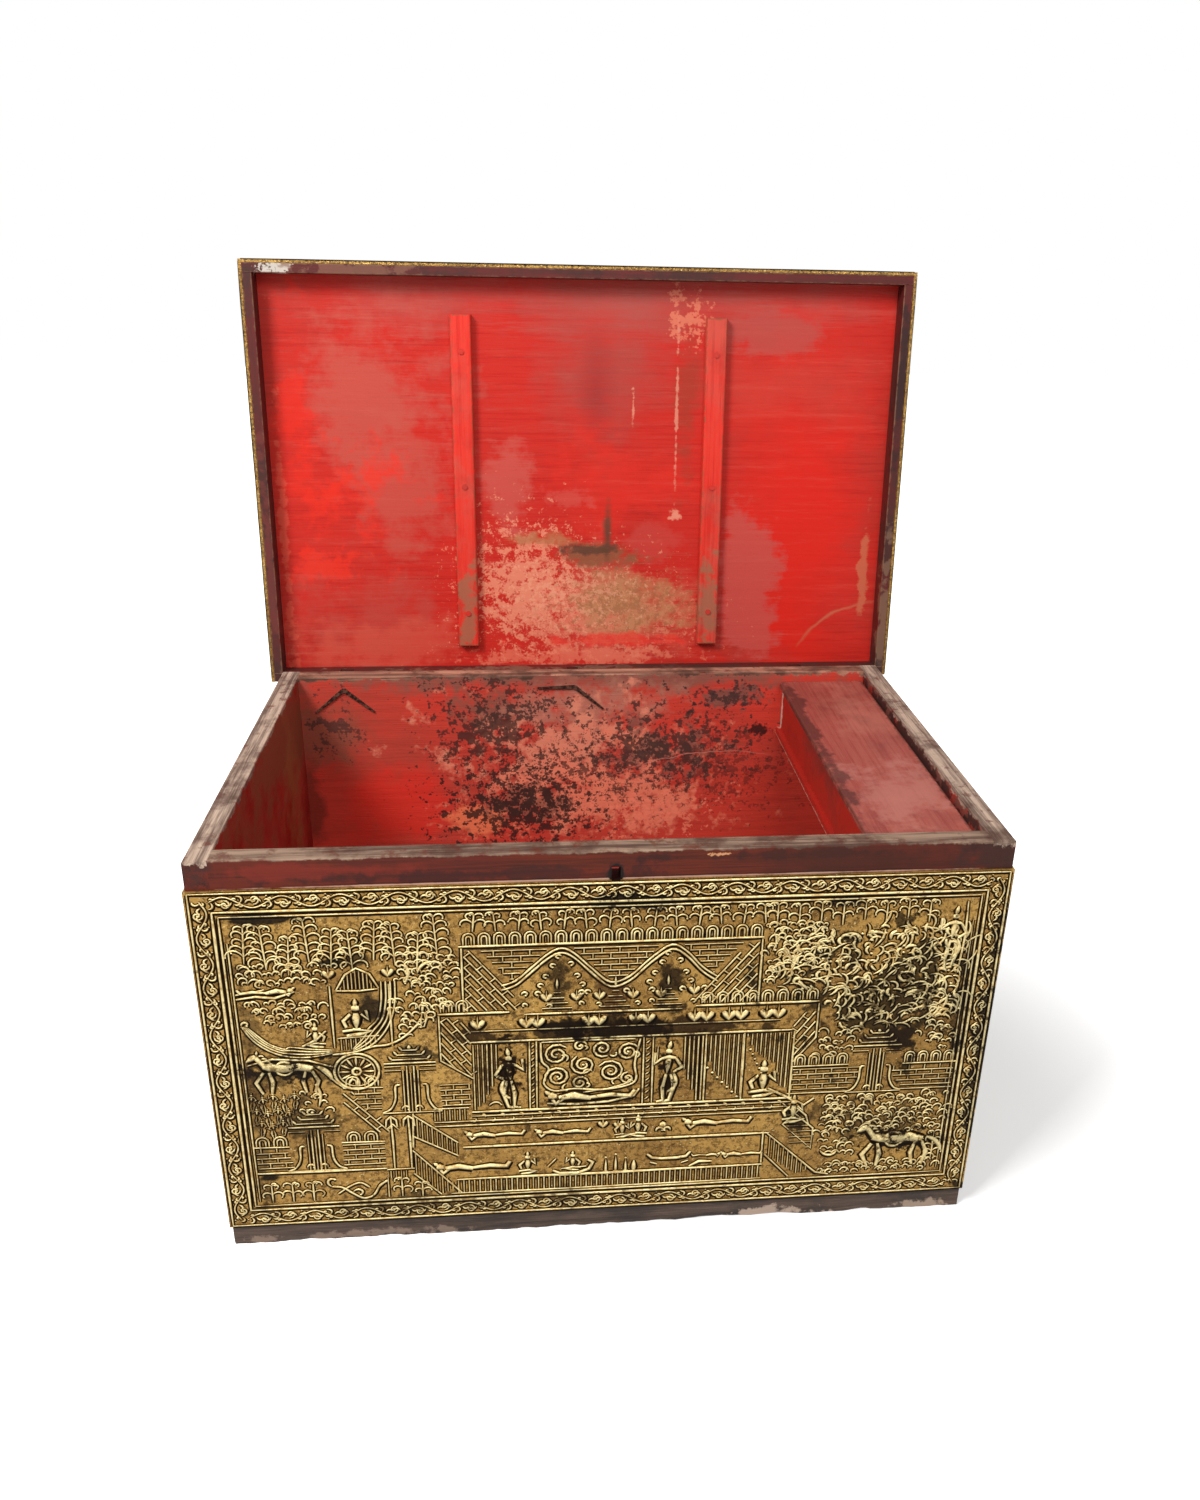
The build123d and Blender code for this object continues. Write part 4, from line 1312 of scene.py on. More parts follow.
        art.each(
            art.seated, (184, 192, 54, 1), (17, 140, 30, 1), (36, 140, 34, -1), (-96, 91, 34, 1),
            (-42, 93, 30, -1),
        )
        art.each(art.heart, (-6, 160, 9), (12, 158, 8))
        art.dot(66, 156, 5)
        art.drop((32, 88), (32, 104), 2.8)
        return art

    def left_forest(self) -> Relief:
        """Draws the trees along the top left, the travelling canopy and its wheel."""
        art = Relief("front_forest_relief", 14)
        for place, x in enumerate(range(-398, -170, 23)):
            art.tree(x, 404 - 8 * (place % 3), 46 + 6 * (place % 2), 15, 3 * (-1) ** place)
        for place, x in enumerate(range(-152, 176, 25)):
            art.tree(x, 436, 21, 12, 2 * (-1) ** place)
        for shift in range(4):
            out = shift * 5.0
            art.lines(
                (1.0, -409 + out * 0.4, 322 - out * 0.1, -398 + out, 302 - out * 0.25, -380 + out,
                 286 + out * 0.2, -359, 278 + out * 0.9, -335, 277 + out * 0.7, -313, 281 + out * 0.3),
                (1.0, -290, 281 + out * 0.3, -272 - out * 0.3, 288 + out * 0.9, -256 - out, 304 + out * 0.6,
                 -245 - out, 326, -240 - out, 350, -239 - out, 376), soft=True)
        for x in (-310, -246):
            art.line([(x, 372), (x, 330), (x, 288)], 1.2)
            art.heart(x, 386, 10)
        art.thickets(
            (12.5, 13, -410, 402, -300, 398, -320, 372, -410, 374),
            (12, 13, -240, 408, -170, 410, -170, 332, -200, 332, -236, 372),
            (11.5, 12, -405, 352, -318, 354, -318, 316, -378, 318, -398, 336),
            (11.5, 12, -250, 352, -216, 354, -198, 320, -230, 296, -240, 318),
        )
        art.lying(-352, 366, 58, -1)
        art.lines(
            (1.6, -411, 358, -390, 361, -370, 358, -348, 366), (1.2, -411, 364, -395, 366, -380, 370),
            (1.4, -303, 365, -280, 364, -258, 366),
            (1.3, -303, 366, -292, 386, -280, 394, -266, 386, -257, 367), (1.3, -306, 301, -260, 303),
            (1.8, -345, 292, -330, 300, -318, 312), (1.4, -408, 268, -380, 276, -340, 272, -314, 262),
            (1.3, -330, 262, -312, 240, -302, 230),
        )
        art.lines((1.4, -313, 279, -290, 281, -268, 288, -250, 290, -232, 300, -215, 318), soft=True)
        art.each(
            art.curl, ((-409, 322), 100, 14, -220, 1.3), ((-228, 372), 60, 26, 60, 1.6, False),
            ((-214, 384), 75, 24, -70, 1.6, False),
        )
        art.hatches(
            (90, 4.2, 1.0, 0, -300, 366, -292, 384, -281, 392, -268, 386, -262, 366),
            (90, 5.4, 1.0, 0, -304, 300, -262, 302, -266, 286, -304, 284),
        )
        art.each(art.seated, (-284, 304, 50, 1), (-330, 290, 34, -1))
        art.wheel((-288, 254), 25)
        art.horse(-368, 228, 78, -1)
        art.standing(-210, 312, 40, -1)
        return art

    def left_town(self) -> Relief:
        """Draws the two gates, walls, onlookers and plants at the left."""
        art = Relief("front_left_town_relief", 15)
        for row, z in enumerate((204, 184, 166)):
            for place in range(5 - row):
                art.standing(-408 + place * 12 + row * 4, z - 4 * (place % 2), 27, 1 if place % 2 else -1)
        for x in (-254, -234):
            art.lines((1.3, x, 186, x + 1, 150, x + 1, 108),
                         (1.3, x - 6, 172, x - 5, 182, x, 187, x + 6, 182, x + 7, 172))
        for x in (-398, -374, -350):
            art.tree(x, 66, 26, 13)
        art.each(art.gate, (-228, 192, 96), (-342, 112, 88))
        art.hatches(
            (0, 7.4, 1.15, 18, -197, 235, -160, 235, -160, 197, -194, 197),
            (0, 7.4, 1.15, 18, -296, 229, -262, 229, -262, 196, -282, 196),
            (-50, 8.2, 1.35, 19, -306, 226, -296, 226, -256, 170, -256, 158, -272, 168, -306, 206),
            (0, 7.4, 1.15, 18, -411, 148, -376, 148, -368, 122, -368, 114, -411, 114),
            (0, 7.4, 1.15, 18, -312, 150, -262, 150, -262, 113, -312, 113),
            (90, 6, 1.0, 0, -260, 106, -234, 106, -234, 94, -260, 94),
        )
        art.each(
            art.arches, (-304, -262, 233, 14, 17), (-412, -372, 151, 14, 17), (-308, -268, 153, 14, 17),
        )
        art.lines(
            (1.4, -305, 231, -260, 230), (1.4, -413, 150, -372, 149), (1.4, -312, 152, -262, 151),
            (1.5, -412, 111, -340, 110, -262, 110), (1.2, -260, 168, -252, 176, -246, 168),
            (1.3, -262, 108, -230, 108), (1.2, -262, 66, -262, 96),
        )
        art.thickets((13, 11, -352, 222, -316, 222, -322, 196, -352, 200))
        art.each(
            art.curl, ((-334, 206), 70, 34, 50, 1.4, False), ((-328, 86), 150, 20, -180, 1.3),
            ((-304, 76), 60, 20, -200, 1.2),
        )
        art.lines(
            (1.4, -328, 86, -316, 84, -304, 74, -292, 66, -280, 70, -272, 84, -262, 92), (1.2, -322, 74, -306,
            86, -294, 90, -284, 82),
            soft=True)
        art.each(art.tree, (-246, 66, 26, 12), (-222, 64, 20, 10))
        return art

    def right_throng(self) -> Relief:
        """Draws the trees, the flying throng and the watcher at the upper right."""
        art = Relief("front_throng_relief", 16)
        for place, x in enumerate(range(186, 384, 25)):
            art.tree(x, 436 - 6 * (place % 2), 22 + 4 * (place % 2), 13)
        throng = (182, 412, 380, 430, 408, 404, 410, 300, 344, 288, 262, 284, 250, 330, 180, 352)
        art.tangle(pairs(throng), 9.0, 38.0)
        art.thickets(
            (12, 13, 176, 432, 250, 434, 250, 372, 176, 350),
            (12, 12, 358, 330, 408, 336, 408, 246, 366, 262),
            (12, 12, 248, 278, 290, 282, 286, 252, 246, 244),
        )
        art.standing(392, 366, 84, -1)
        art.lines((1.3, 404, 456, 406, 410, 403, 360))
        return art

    def right_town(self) -> Relief:
        """Draws the gate, walls, wood and horse at the lower right."""
        art = Relief("front_right_town_relief", 17)
        art.gate(319, 192, 92)
        art.each(art.arches, (218, 286, 236, 15, 17), (352, 416, 234, 15, 17))
        art.lines(
            (1.4, 216, 234, 286, 234), (1.4, 352, 232, 418, 232), (1.4, 214, 194, 290, 194),
            (1.3, 350, 194, 416, 194), (1.6, 222, 186, 236, 176, 248, 186),
            (1.4, 228, 172, 240, 160, 244, 146),
        )
        art.hatches(
            (0, 7.4, 1.15, 19, 218, 230, 302, 230, 298, 214, 286, 197, 218, 197),
            (0, 7.4, 1.15, 19, 338, 228, 416, 229, 416, 197, 354, 197, 342, 212),
        )
        art.thickets(
            (12, 13, 254, 188, 412, 188, 412, 132, 256, 128), (12, 12, 262, 126, 304, 124, 304, 92, 262, 92),
            (12.5, 12, 258, 86, 412, 82, 412, 64, 258, 64),
        )
        art.horse(354, 76, 92, -1)
        art.tree(404, 84, 40, 11)
        art.seated(224, 150, 42, 1)
        art.curl((262, 104), -60, 26, 120, 1.5, False)
        return art


@dataclass(frozen=True)
class ScrollField:
    """A border of running vine round a field of large scrolls, for the faces that stand less in view."""

    low: Point
    high: Point
    border: float = 24.0
    pitch: float = 31.0
    spacing: float = 52.0

    def draw(self, name: str, seed: int) -> Relief:
        """Draws the field as one relief, with its small differences started from a seed."""
        art = Relief(name, seed, leaf_steps=5)
        low, high = art.border(self.low, self.high, self.border, self.pitch)
        if high[1] > low[1]:
            self.scrolls(art, low, high)
        return art

    def scrolls(self, art: Relief, low: Point, high: Point) -> None:
        """Fills the field with rows of large running scroll, leaves in every gap between them."""
        inset = 10.0
        rows = max(1, round((high[1] - low[1] - 2 * inset) / self.spacing))
        step = (high[1] - low[1] - 2 * inset) / rows
        left, right = low[0] + inset, high[0] - inset
        count = 2 * max(1, round((right - left) / step / 2 / 0.86))
        pitch = (right - left) / count
        for row in range(rows):
            middle = low[1] + inset + step * (row + 0.5)
            flip = 1 if row % 2 else -1
            art.wave((left, middle), 0.0, right - left, count, flip * step * 0.43, 1.5)
            for place in range(count):
                side = flip * (1 if place % 2 == 0 else -1)
                centre = (left + pitch * (place + 0.5), middle - side * step * 0.06)
                radius = step * 0.31
                art.spiral(centre, radius, 180 - side * 25, side * 1.45, 1.45)
                for leaf in range(5):
                    angle = 200 + side * 20 + side * leaf * 62
                    spot = polar(centre, angle, radius)
                    art.curl(spot, angle - side * 45, radius * 0.62, side * 120, 1.25, False)
                corner = (left + pitch * (place + 0.5), middle - side * step * 0.46)
                for hand in (-1, 1):
                    art.curl(corner, 90 * side + 90 - 90 * side + hand * 62, radius * 0.95, hand * 150, 1.3)
                art.drop(corner, (corner[0], corner[1] + side * step * 0.12), 1.5)
                if place and row:
                    gap = (left + pitch * place, middle - step * 0.5)
                    art.dot(*gap, 2.6)
                    for petal in range(6):
                        art.curl(gap, 60 * petal + 30, radius * 0.8, 70, 1.2, False)


@dataclass(frozen=True)
class GildedFace:
    """One gilded face: its plate, its finish and the relief that stands on it."""

    face: Face
    patches: tuple[Patch, ...] = ()

    def frame(self, lid: LidSpace) -> Matrix:
        """Returns the face's own frame, its origin on the gesso and level with the body's origin."""
        across, up, out = self.face.axes
        turned = lid.matrix() if self.face.on_lid else Matrix.Identity(4)
        back = turned.inverted()
        mesh = frame["nodes"][self.face.node].data
        reach = max(out.dot(back @ vertex.co) for vertex in mesh.vertices)
        matrix = Matrix.Identity(4)
        for column, axis in enumerate((across, up, out)):
            matrix.col[column] = (*axis, 0.0)
        matrix.translation = out * reach
        return turned @ matrix

    def dress(self, effects: Effects, reliefs: list[Relief]) -> None:
        """Gives the plate its gold and builds the reliefs on it."""
        matrix = self.frame(effects.lid)
        # level sets which way is up for the painted underside shade on the gold.
        wear = {"on_lid": self.face.on_lid, "level": self.face is Face.LID_TOP, "patches": self.patches}
        coat(effects, Gilding(self.face.value + "_gold_ground", matrix, False, **wear), self.face.node)
        gold = Gilding(self.face.value + "_gold_relief", matrix, True, **wear).build(effects)
        for relief in reliefs:
            relief.build(matrix, "lid" if self.face.on_lid else "chest", gold)


BACK_WEAR = Plane.WELL_BACK.patches(
    (0.0, 0.530, 0.62, 0.030, 134, 86, 72, 0.85, 0.7, 0.6, 50),
    (-0.41, 0.43, 0.085, 0.08, 142, 78, 60, 0.85, 0.7, 0.5, 40),
    (-0.375, 0.455, 0.060, 0.055, 70, 46, 42, 0.75, 0.2, 1.1, 230, 0.7),
    (-0.42, 0.33, 0.025, 0.10, 128, 48, 38, 0.8, 0.6, 0.5, 40),
    (-0.28, 0.32, 0.12, 0.075, 228, 48, 36, 0.7, 0.5, 0.4, 30),
    (-0.15, 0.47, 0.06, 0.045, 126, 84, 70, 0.8, 0.6, 0.7, 60),
    (0.0, 0.48, 0.14, 0.045, 184, 118, 98, 0.8, 0.7, 0.7, 50),
    (-0.03, 0.405, 0.17, 0.080, 232, 140, 112, 0.85, 0.6, 0.9, 70),
    (0.02, 0.325, 0.18, 0.090, 238, 126, 98, 0.9, 0.6, 0.9, 70),
    (-0.17, 0.29, 0.045, 0.028, 244, 124, 84, 0.85, 0.5, 0.6, 60),
    (0.12, 0.41, 0.085, 0.050, 134, 84, 72, 0.8, 0.6, 0.9, 90),
    (0.215, 0.490, 0.060, 0.020, 118, 80, 70, 0.8, 0.5, 0.9, 100),
    (-0.10, 0.315, 0.070, 0.040, 142, 84, 68, 0.75, 0.5, 0.9, 110),
    (-0.14, 0.45, 0.115, 0.085, 58, 42, 38, 0.85, 0.15, 1.1, 230, 0.5),
    (-0.10, 0.31, 0.130, 0.080, 44, 32, 30, 0.9, 0.15, 1.1, 250, 0.40),
    (0.12, 0.41, 0.150, 0.085, 62, 46, 42, 0.85, 0.15, 1.1, 240, 0.55),
    (0.0, 0.36, 0.260, 0.150, 74, 44, 38, 0.8, 0.15, 1.15, 300, 1.0),
    (0.22, 0.37, 0.130, 0.080, 88, 40, 34, 0.6, 0.2, 1.2, 260, 0.7),
    (0.215, 0.490, 0.075, 0.025, 56, 42, 40, 0.8, 0.2, 1.1, 240, 0.5),
    (0.10, 0.30, 0.120, 0.050, 250, 132, 104, 0.7, 0.2, 1.1, 200, 0.6),
    (0.268, 0.435, 0.014, 0.010, 34, 24, 24, 0.9, 0.4, 0.9, 160),
)
BAND_STAINS_AND_PAINTED_LIGHT = Plane.BAND.patches(
    (0.43, 0.512, 0.05, 0.03, 52, 34, 30, 0.85, 0.5, 0.8, 50),
    (-0.44, 0.512, 0.03, 0.03, 56, 34, 30, 0.75, 0.5, 0.8, 50),
    (-0.16, 0.505, 0.20, 0.008, 52, 24, 22, 0.7, 0.5, 0.9, 60),
    (0.25, 0.520, 0.16, 0.006, 46, 22, 20, 0.7, 0.5, 1.0, 60),
    (-0.30, 0.515, 0.14, 0.010, 128, 40, 28, 0.5, 0.5, 0.8, 40),
    (0.30, 0.512, 0.26, 0.050, 60, 27, 19, 0.8, 0.9, 0.4, 30),
    (0.12, 0.523, 0.012, 0.002, 208, 150, 104, 0.8, 0.3, 1.0, 200),
    # A thin pale line just above the gold's top edge and a thin dark line above it: a painted highlight and a
    # painted shadow at the ledge.
    (0.0, 0.4962, 0.46, 0.0014, 196, 158, 138, 0.85, 0.4, 0.25, 90),
    (0.0, 0.4985, 0.46, 0.0010, 34, 20, 16, 0.6, 0.4, 0.4, 90),
    # A near-black spot round the key slot: painted shade of the slot.
    (0.0045, 0.503, 0.010, 0.012, 34, 20, 18, 0.8, 0.5, 0.6, 120),
)
LEFT_WEAR = Plane.WELL_LEFT.patches(
    (0.05, 0.50, 0.32, 0.09, 134, 78, 54, 0.85, 0.6, 0.8, 24),
    (0.15, 0.40, 0.08, 0.12, 150, 98, 60, 0.8, 0.8, 0.8, 30),
)
RIGHT_WEAR = Plane.WELL_RIGHT.patches(
    (0.0, 0.52, 0.30, 0.016, 104, 68, 58, 0.9, 0.5, 0.8, 60),
    (0.05, 0.515, 0.26, 0.014, 44, 30, 28, 0.8, 0.4, 1.8, 90),
)


@dataclass(frozen=True)
class Chest:
    """The box: walls, planks, pegs, till boards and eyes, with their finishes."""

    # The key slot's walls and mouth are painted near black: painted shade in the slot.
    key_slot_shade: tuple[Patch, ...] = (
        Patch((0.0045, -0.266, 0.502), (0.0095, 0.05, 0.0140), rgb(20, 12, 10), 1.0, 0.15, 0.0, 60),
    )
    scratches: tuple[Scratch, ...] = (
        Scratch((0.215, 0.252, -0.02), (0.16, 0.252, 0.39), 0.42, 0.13, 0.0013, rgb(205, 120, 104)),
    )
    planks: tuple[str, ...] = ("bottom_plank_front", "bottom_plank_rear")
    eyes: tuple[str, ...] = ("box_hinge_eye_left", "box_hinge_eye_centre", "box_hinge_eye_right")

    def dress(self, effects: Effects) -> None:
        """Dresses the box's nodes."""
        coat(effects, WallCoat(
            "front_wall_lacquer", Along.X, bare=rgb(152, 126, 106), bare_dark=rgb(84, 64, 54), chipped=0.004,
            stains_and_painted_light=BAND_STAINS_AND_PAINTED_LIGHT + self.key_slot_shade, patches=self.key_slot_shade), "front_board")
        coat(effects, WallCoat(
            "back_wall_lacquer", Along.X, bare=rgb(184, 130, 106), bare_dark=rgb(100, 70, 58),
            patches=BACK_WEAR, scratches=self.scratches), "back_board")
        for side, red, wear in (("left", rgb(150, 32, 24), LEFT_WEAR),
                                ("right", rgb(128, 30, 24), RIGHT_WEAR)):
            wall = WallCoat(side + "_wall_lacquer", Along.Y, inside=red, stains_and_painted_light=BAND_STAINS_AND_PAINTED_LIGHT, patches=wear)
            coat(effects, wall, side + "_board")
        crumbs = Plane.BAND.patches(
            (0.198, 0.004, 0.060, 0.012, 184, 160, 142, 0.85, 0.4, 1.0, 90),
            (0.400, 0.004, 0.034, 0.009, 168, 144, 124, 0.8, 0.4, 1.0, 90),
            (-0.33, 0.006, 0.130, 0.008, 148, 124, 106, 0.6, 0.4, 1.1, 80, 0.3),
            (0.0, 0.027, 0.45, 0.005, 36, 25, 20, 0.8, 0.5, 0.8, 50),
        )
        base = BareWood("base_wood", rgb(90, 69, 55), rgb(44, 32, 25), rgb(34, 25, 20), patches=crumbs)
        worn = coat(effects, base, *self.planks)
        for seed, node in enumerate(self.planks):
            self.add_plank(node, worn, 3.0 * seed)
        pegs = BareWood("peg_wood", rgb(112, 74, 52), rgb(66, 40, 30), rgb(44, 30, 26), scale=200.0)
        coat(effects, pegs, "corner_pegs", "bottom_pegs")
        # Pale filler in the till side's back joint, and a pale line along the till side's top edge.
        filler_and_edge_line = (
            Patch((0.30, 0.2475, 0.474), (0.014, 0.006, 0.045), rgb(214, 192, 174), 0.9, 0.4, 1.0, 120),
            Patch((0.30, 0.10, 0.5077), (0.010, 0.20, 0.0022), rgb(206, 150, 128), 0.75, 0.4, 1.2, 140),
        )
        till = Lacquer("till_board_lacquer", rgb(176, 38, 26), rgb(140, 44, 34), rgb(196, 160, 140), Along.Y,
                       wear=0.002, low=(0.300, -0.252, 0.4307), high=(0.4238, 0.252, 0.5077), patches=filler_and_edge_line)
        coat(effects, till, "till_side_board", "till_bottom_board")
        coat(effects, Iron("hinge_eye_iron"), *self.eyes)

    def add_plank(self, node: str, material: Material, start: float) -> None:
        """Makes a bottom plank whose lower outer edge has rotted back unevenly.

        Args:
            node: The plank that the piece stands for.
            material: Its finish.
            start: Where its noise begins.
        """
        low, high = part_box(node)
        low.z += 0.0003
        shape = bmesh.new()
        bmesh.ops.create_cube(shape, size=1.0)
        bmesh.ops.scale(shape, vec=high - low, verts=shape.verts)
        bmesh.ops.translate(shape, vec=(low + high) / 2, verts=shape.verts)
        for axis, cuts in ((0, 150), (1, 60), (2, 5)):
            edges = [edge for edge in shape.edges
                     if abs((edge.verts[0].co - edge.verts[1].co).normalized()[axis]) > 0.9]
            bmesh.ops.subdivide_edges(shape, edges=edges, cuts=cuts, use_grid_fill=True)
        ends = [low.x, high.x, low.y if low.y < -0.2 else high.y]
        for vertex in shape.verts:
            spot = vertex.co.copy()
            near = [abs(place - end) < 0.001 for place, end in zip((spot.x, spot.x, spot.y), ends)]
            if not any(near) or spot.z > high.z - 0.002:
                continue
            depth = 1 - (spot.z - low.z) / (high.z - low.z)
            place = spot * 26 + Vector((start, 0, 0))
            rot = max(0.0, noise.fractal(place, 0.8, 2.1, 4) * 0.55 + 0.15 + self.decay(spot.x))
            inward = Vector((near[0] - near[1], (1 if ends[2] < 0 else -1) * near[2], 0))
            vertex.co += inward * rot * depth * 0.003
            if depth > 0.75:
                vertex.co.z += rot * 0.003
        piece = add_piece(node + "_worn", shape, material)
        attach(piece, "chest")
        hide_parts(node)

    @staticmethod
    def decay(x: float) -> float:
        """Returns how much more the plank has rotted at a place along it, most right of the middle."""
        return 0.5 * math.exp(-((x - 0.15) / 0.09) ** 2)


@dataclass(frozen=True)
class Till:
    """The till's cover, dull with dust."""

    def dress(self, effects: Effects) -> None:
        """Dresses the cover."""
        low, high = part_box("till_cover")
        cover = Lacquer(
            "till_cover_lacquer", rgb(150, 70, 60), rgb(166, 92, 78), rgb(92, 50, 40), Along.Y,
            cloud_scale=9.0, dirt=0.35, roughness=0.62, wear=0.004, low=tuple(low), high=tuple(high),
            patches=(
                Patch((0.37, -0.12, 0.516), (0.09, 0.10, 0.05), rgb(176, 112, 100), 0.55, 0.6, 0.8, 60),
                Patch((0.30, 0.0, 0.512), (0.012, 0.30, 0.02), rgb(74, 34, 30), 0.8, 0.5, 0.9, 50),
            ),
        )
        coat(effects, cover, "till_cover")


LID_WEAR = Plane.LID_PANEL.patches(
    (0.33, -0.25, 0.13, 0.30, 214, 34, 22, 0.8, 0.8, 0.5, 16),
    (0.0, -0.545, 0.60, 0.055, 160, 84, 76, 0.8, 1.2, 0.4, 14),
    (-0.30, -0.42, 0.13, 0.12, 184, 80, 68, 0.75, 0.8, 0.9, 26),
    (-0.25, -0.27, 0.10, 0.11, 186, 78, 66, 0.7, 0.7, 0.9, 30),
    (-0.33, -0.12, 0.13, 0.10, 182, 66, 56, 0.75, 0.8, 0.8, 26),
    (-0.33, -0.28, 0.09, 0.07, 224, 44, 28, 0.75, 0.8, 1.0, 44),
    (-0.41, -0.38, 0.03, 0.12, 218, 40, 26, 0.7, 0.6, 0.9, 40),
    (-0.36, -0.16, 0.06, 0.03, 228, 48, 30, 0.6, 0.6, 1.1, 50),
    (0.0, -0.46, 0.20, 0.12, 164, 66, 58, 0.8, 1.1, 0.6, 16),
    (0.015, -0.43, 0.03, 0.10, 132, 34, 36, 0.45, 1.0, 0.3, 16),
    (0.02, -0.29, 0.13, 0.07, 212, 42, 30, 0.75, 0.8, 0.7, 30),
    (0.27, -0.505, 0.075, 0.032, 174, 72, 64, 0.8, 0.4, 0.4, 40),
    (0.30, -0.43, 0.14, 0.06, 196, 58, 46, 0.6, 1.1, 0.6, 20),
    (-0.11, -0.28, 0.05, 0.085, 192, 78, 68, 0.85, 0.5, 0.6, 34),
    (-0.02, -0.27, 0.04, 0.02, 196, 76, 66, 0.6, 0.5, 0.8, 60),
    (0.105, -0.20, 0.04, 0.03, 192, 66, 58, 0.6, 0.6, 0.8, 40),
    (0.245, -0.13, 0.055, 0.12, 190, 74, 66, 0.9, 0.4, 0.6, 34),
    (0.0, -0.11, 0.16, 0.085, 206, 98, 80, 0.75, 0.9, 0.6, 30),
    (-0.30, -0.05, 0.15, 0.045, 204, 82, 64, 0.6, 0.8, 0.9, 30),
    (-0.095, -0.14, 0.07, 0.08, 230, 142, 112, 0.75, 0.5, 1.15, 290),
    (0.02, -0.085, 0.12, 0.045, 220, 128, 100, 0.65, 0.5, 1.2, 310),
    (0.055, -0.108, 0.115, 0.050, 182, 124, 84, 0.9, 0.8, 0.6, 60),
    (0.06, -0.105, 0.12, 0.055, 150, 96, 62, 0.6, 0.2, 1.2, 420, 0.6),
    (-0.03, -0.13, 0.16, 0.090, 234, 164, 130, 0.45, 0.4, 1.2, 330, 0.7),
    (0.03, -0.052, 0.13, 0.010, 222, 52, 40, 0.75, 0.5, 0.7, 60),
    (-0.01, -0.026, 0.15, 0.014, 226, 118, 92, 0.6, 0.5, 1.0, 120),
    (-0.075, -0.208, 0.060, 0.012, 178, 110, 74, 0.85, 0.5, 0.6, 60),
    (0.03, -0.184, 0.080, 0.018, 136, 80, 54, 0.9, 0.6, 0.6, 60),
    (0.005, -0.192, 0.055, 0.010, 84, 56, 42, 0.85, 0.5, 0.7, 80),
    (0.034, -0.222, 0.008, 0.055, 92, 58, 42, 0.9, 0.8, 0.25, 60),
    (0.148, -0.41, 0.020, 0.14, 156, 52, 36, 0.75, 0.8, 0.6, 40),
    (0.134, -0.40, 0.0022, 0.12, 222, 150, 124, 0.6, 0.7, 1.0, 120),
    (0.070, -0.40, 0.0026, 0.024, 222, 142, 116, 0.7, 0.5, 0.8, 120),
    (0.150, -0.53, 0.024, 0.030, 216, 120, 92, 0.75, 0.4, 1.2, 170),
    (0.135, -0.245, 0.009, 0.008, 228, 146, 120, 0.8, 0.4, 0.8, 120),
    (0.43, -0.16, 0.007, 0.09, 196, 108, 76, 0.7, 0.5, 0.9, 60),
    (-0.44, -0.20, 0.008, 0.20, 228, 92, 70, 0.5, 0.5, 0.9, 90),
)
SCUFFS = Plane.LID_RIM.patches(
    (-0.425, -0.582, 0.022, 0.010, 196, 186, 174, 0.9, 0.3, 1.3, 190),
    (-0.30, -0.582, 0.10, 0.010, 120, 78, 62, 0.7, 0.4, 1.2, 90),
    (0.458, -0.42, 0.010, 0.14, 44, 24, 22, 0.8, 0.5, 1.0, 60),
    (0.458, -0.08, 0.010, 0.10, 122, 90, 70, 0.7, 0.4, 1.2, 90),
    (-0.458, -0.20, 0.010, 0.14, 104, 44, 38, 0.7, 0.4, 1.0, 70),
    (-0.12, -0.0135, 0.20, 0.010, 128, 96, 78, 0.6, 0.5, 1.2, 80),
    (0.30, -0.0135, 0.20, 0.010, 58, 40, 34, 0.7, 0.5, 1.2, 80),
)


@dataclass(frozen=True)
class Lid:
    """The lid: its red inside with battens, its maroon rims, nails and eyes."""

    scratches: tuple[Scratch, ...] = (
        Scratch((0.46, 0.04, 0.0195), (0.39, -0.085, 0.0195), 0.150, 0.075, 0.0035, rgb(190, 96, 70)),
    )

    def dress(self, effects: Effects) -> None:
        """Dresses the lid's nodes."""
        panel = Lacquer("lid_panel_lacquer", rgb(198, 38, 28), rgb(178, 50, 40), rgb(130, 66, 44),
                        Along.X, True, cloud_scale=6.0, cloud_low=0.52, cloud_high=0.68, dirt=0.1,
                        patches=LID_WEAR, scratches=self.scratches, frayed=1.6, lines=0.22, gloss=0.15)
        coat(effects, panel, "lid_panel")
        for side, place in (("left", -0.176), ("right", 0.188)):
            coat(effects, Lacquer(
                f"lid_batten_{side}_lacquer", rgb(224, 42, 26), rgb(200, 72, 56), rgb(130, 72, 48), Along.Y,
                True, wear=0.0022, low=(place - 0.015, -0.5265, 0.0065),
                high=(place + 0.015, -0.0485, 0.0195),
                patches=Plane.BATTEN.patches((place, -0.10, 0.02, 0.08, 150, 96, 70, 0.8, 0.4, 0.9, 60)),
            ), f"lid_batten_{side}")
        for side, along, left, near, right, far in (
                ("front", Along.X, -0.465, -0.5885, 0.465, -0.5755),
                ("back", Along.X, -0.465, -0.0135, 0.465, 0.0005),
                ("left", Along.Y, -0.465, -0.5885, -0.452, 0.0005),
                ("right", Along.Y, 0.452, -0.5885, 0.465, 0.0005)):
            rim = Lacquer(f"lid_{side}_rail_lacquer", rgb(88, 28, 24), rgb(62, 32, 27), rgb(120, 86, 64),
                          along, True, cloud_scale=8.0, dirt=0.5, roughness=0.5, wear=0.0016,
                          low=(left, near, -0.0097), high=(right, far, 0.0365), patches=SCUFFS)
            coat(effects, rim, f"lid_{side}_rail")
        coat(effects, Iron("nail_iron", rgb(96, 44, 38), rgb(120, 52, 42)), "lid_rail_nails")
        painted = Lacquer("lid_nail_lacquer", rgb(206, 46, 32), rgb(186, 56, 44), rgb(120, 50, 40),
                          on_lid=True)
        coat(effects, painted, "lid_batten_nails")
        eyes = (f"lid_hinge_eye_{place}" for place in ("left", "centre", "right"))
        coat(effects, Iron("lid_eye_iron"), *eyes)


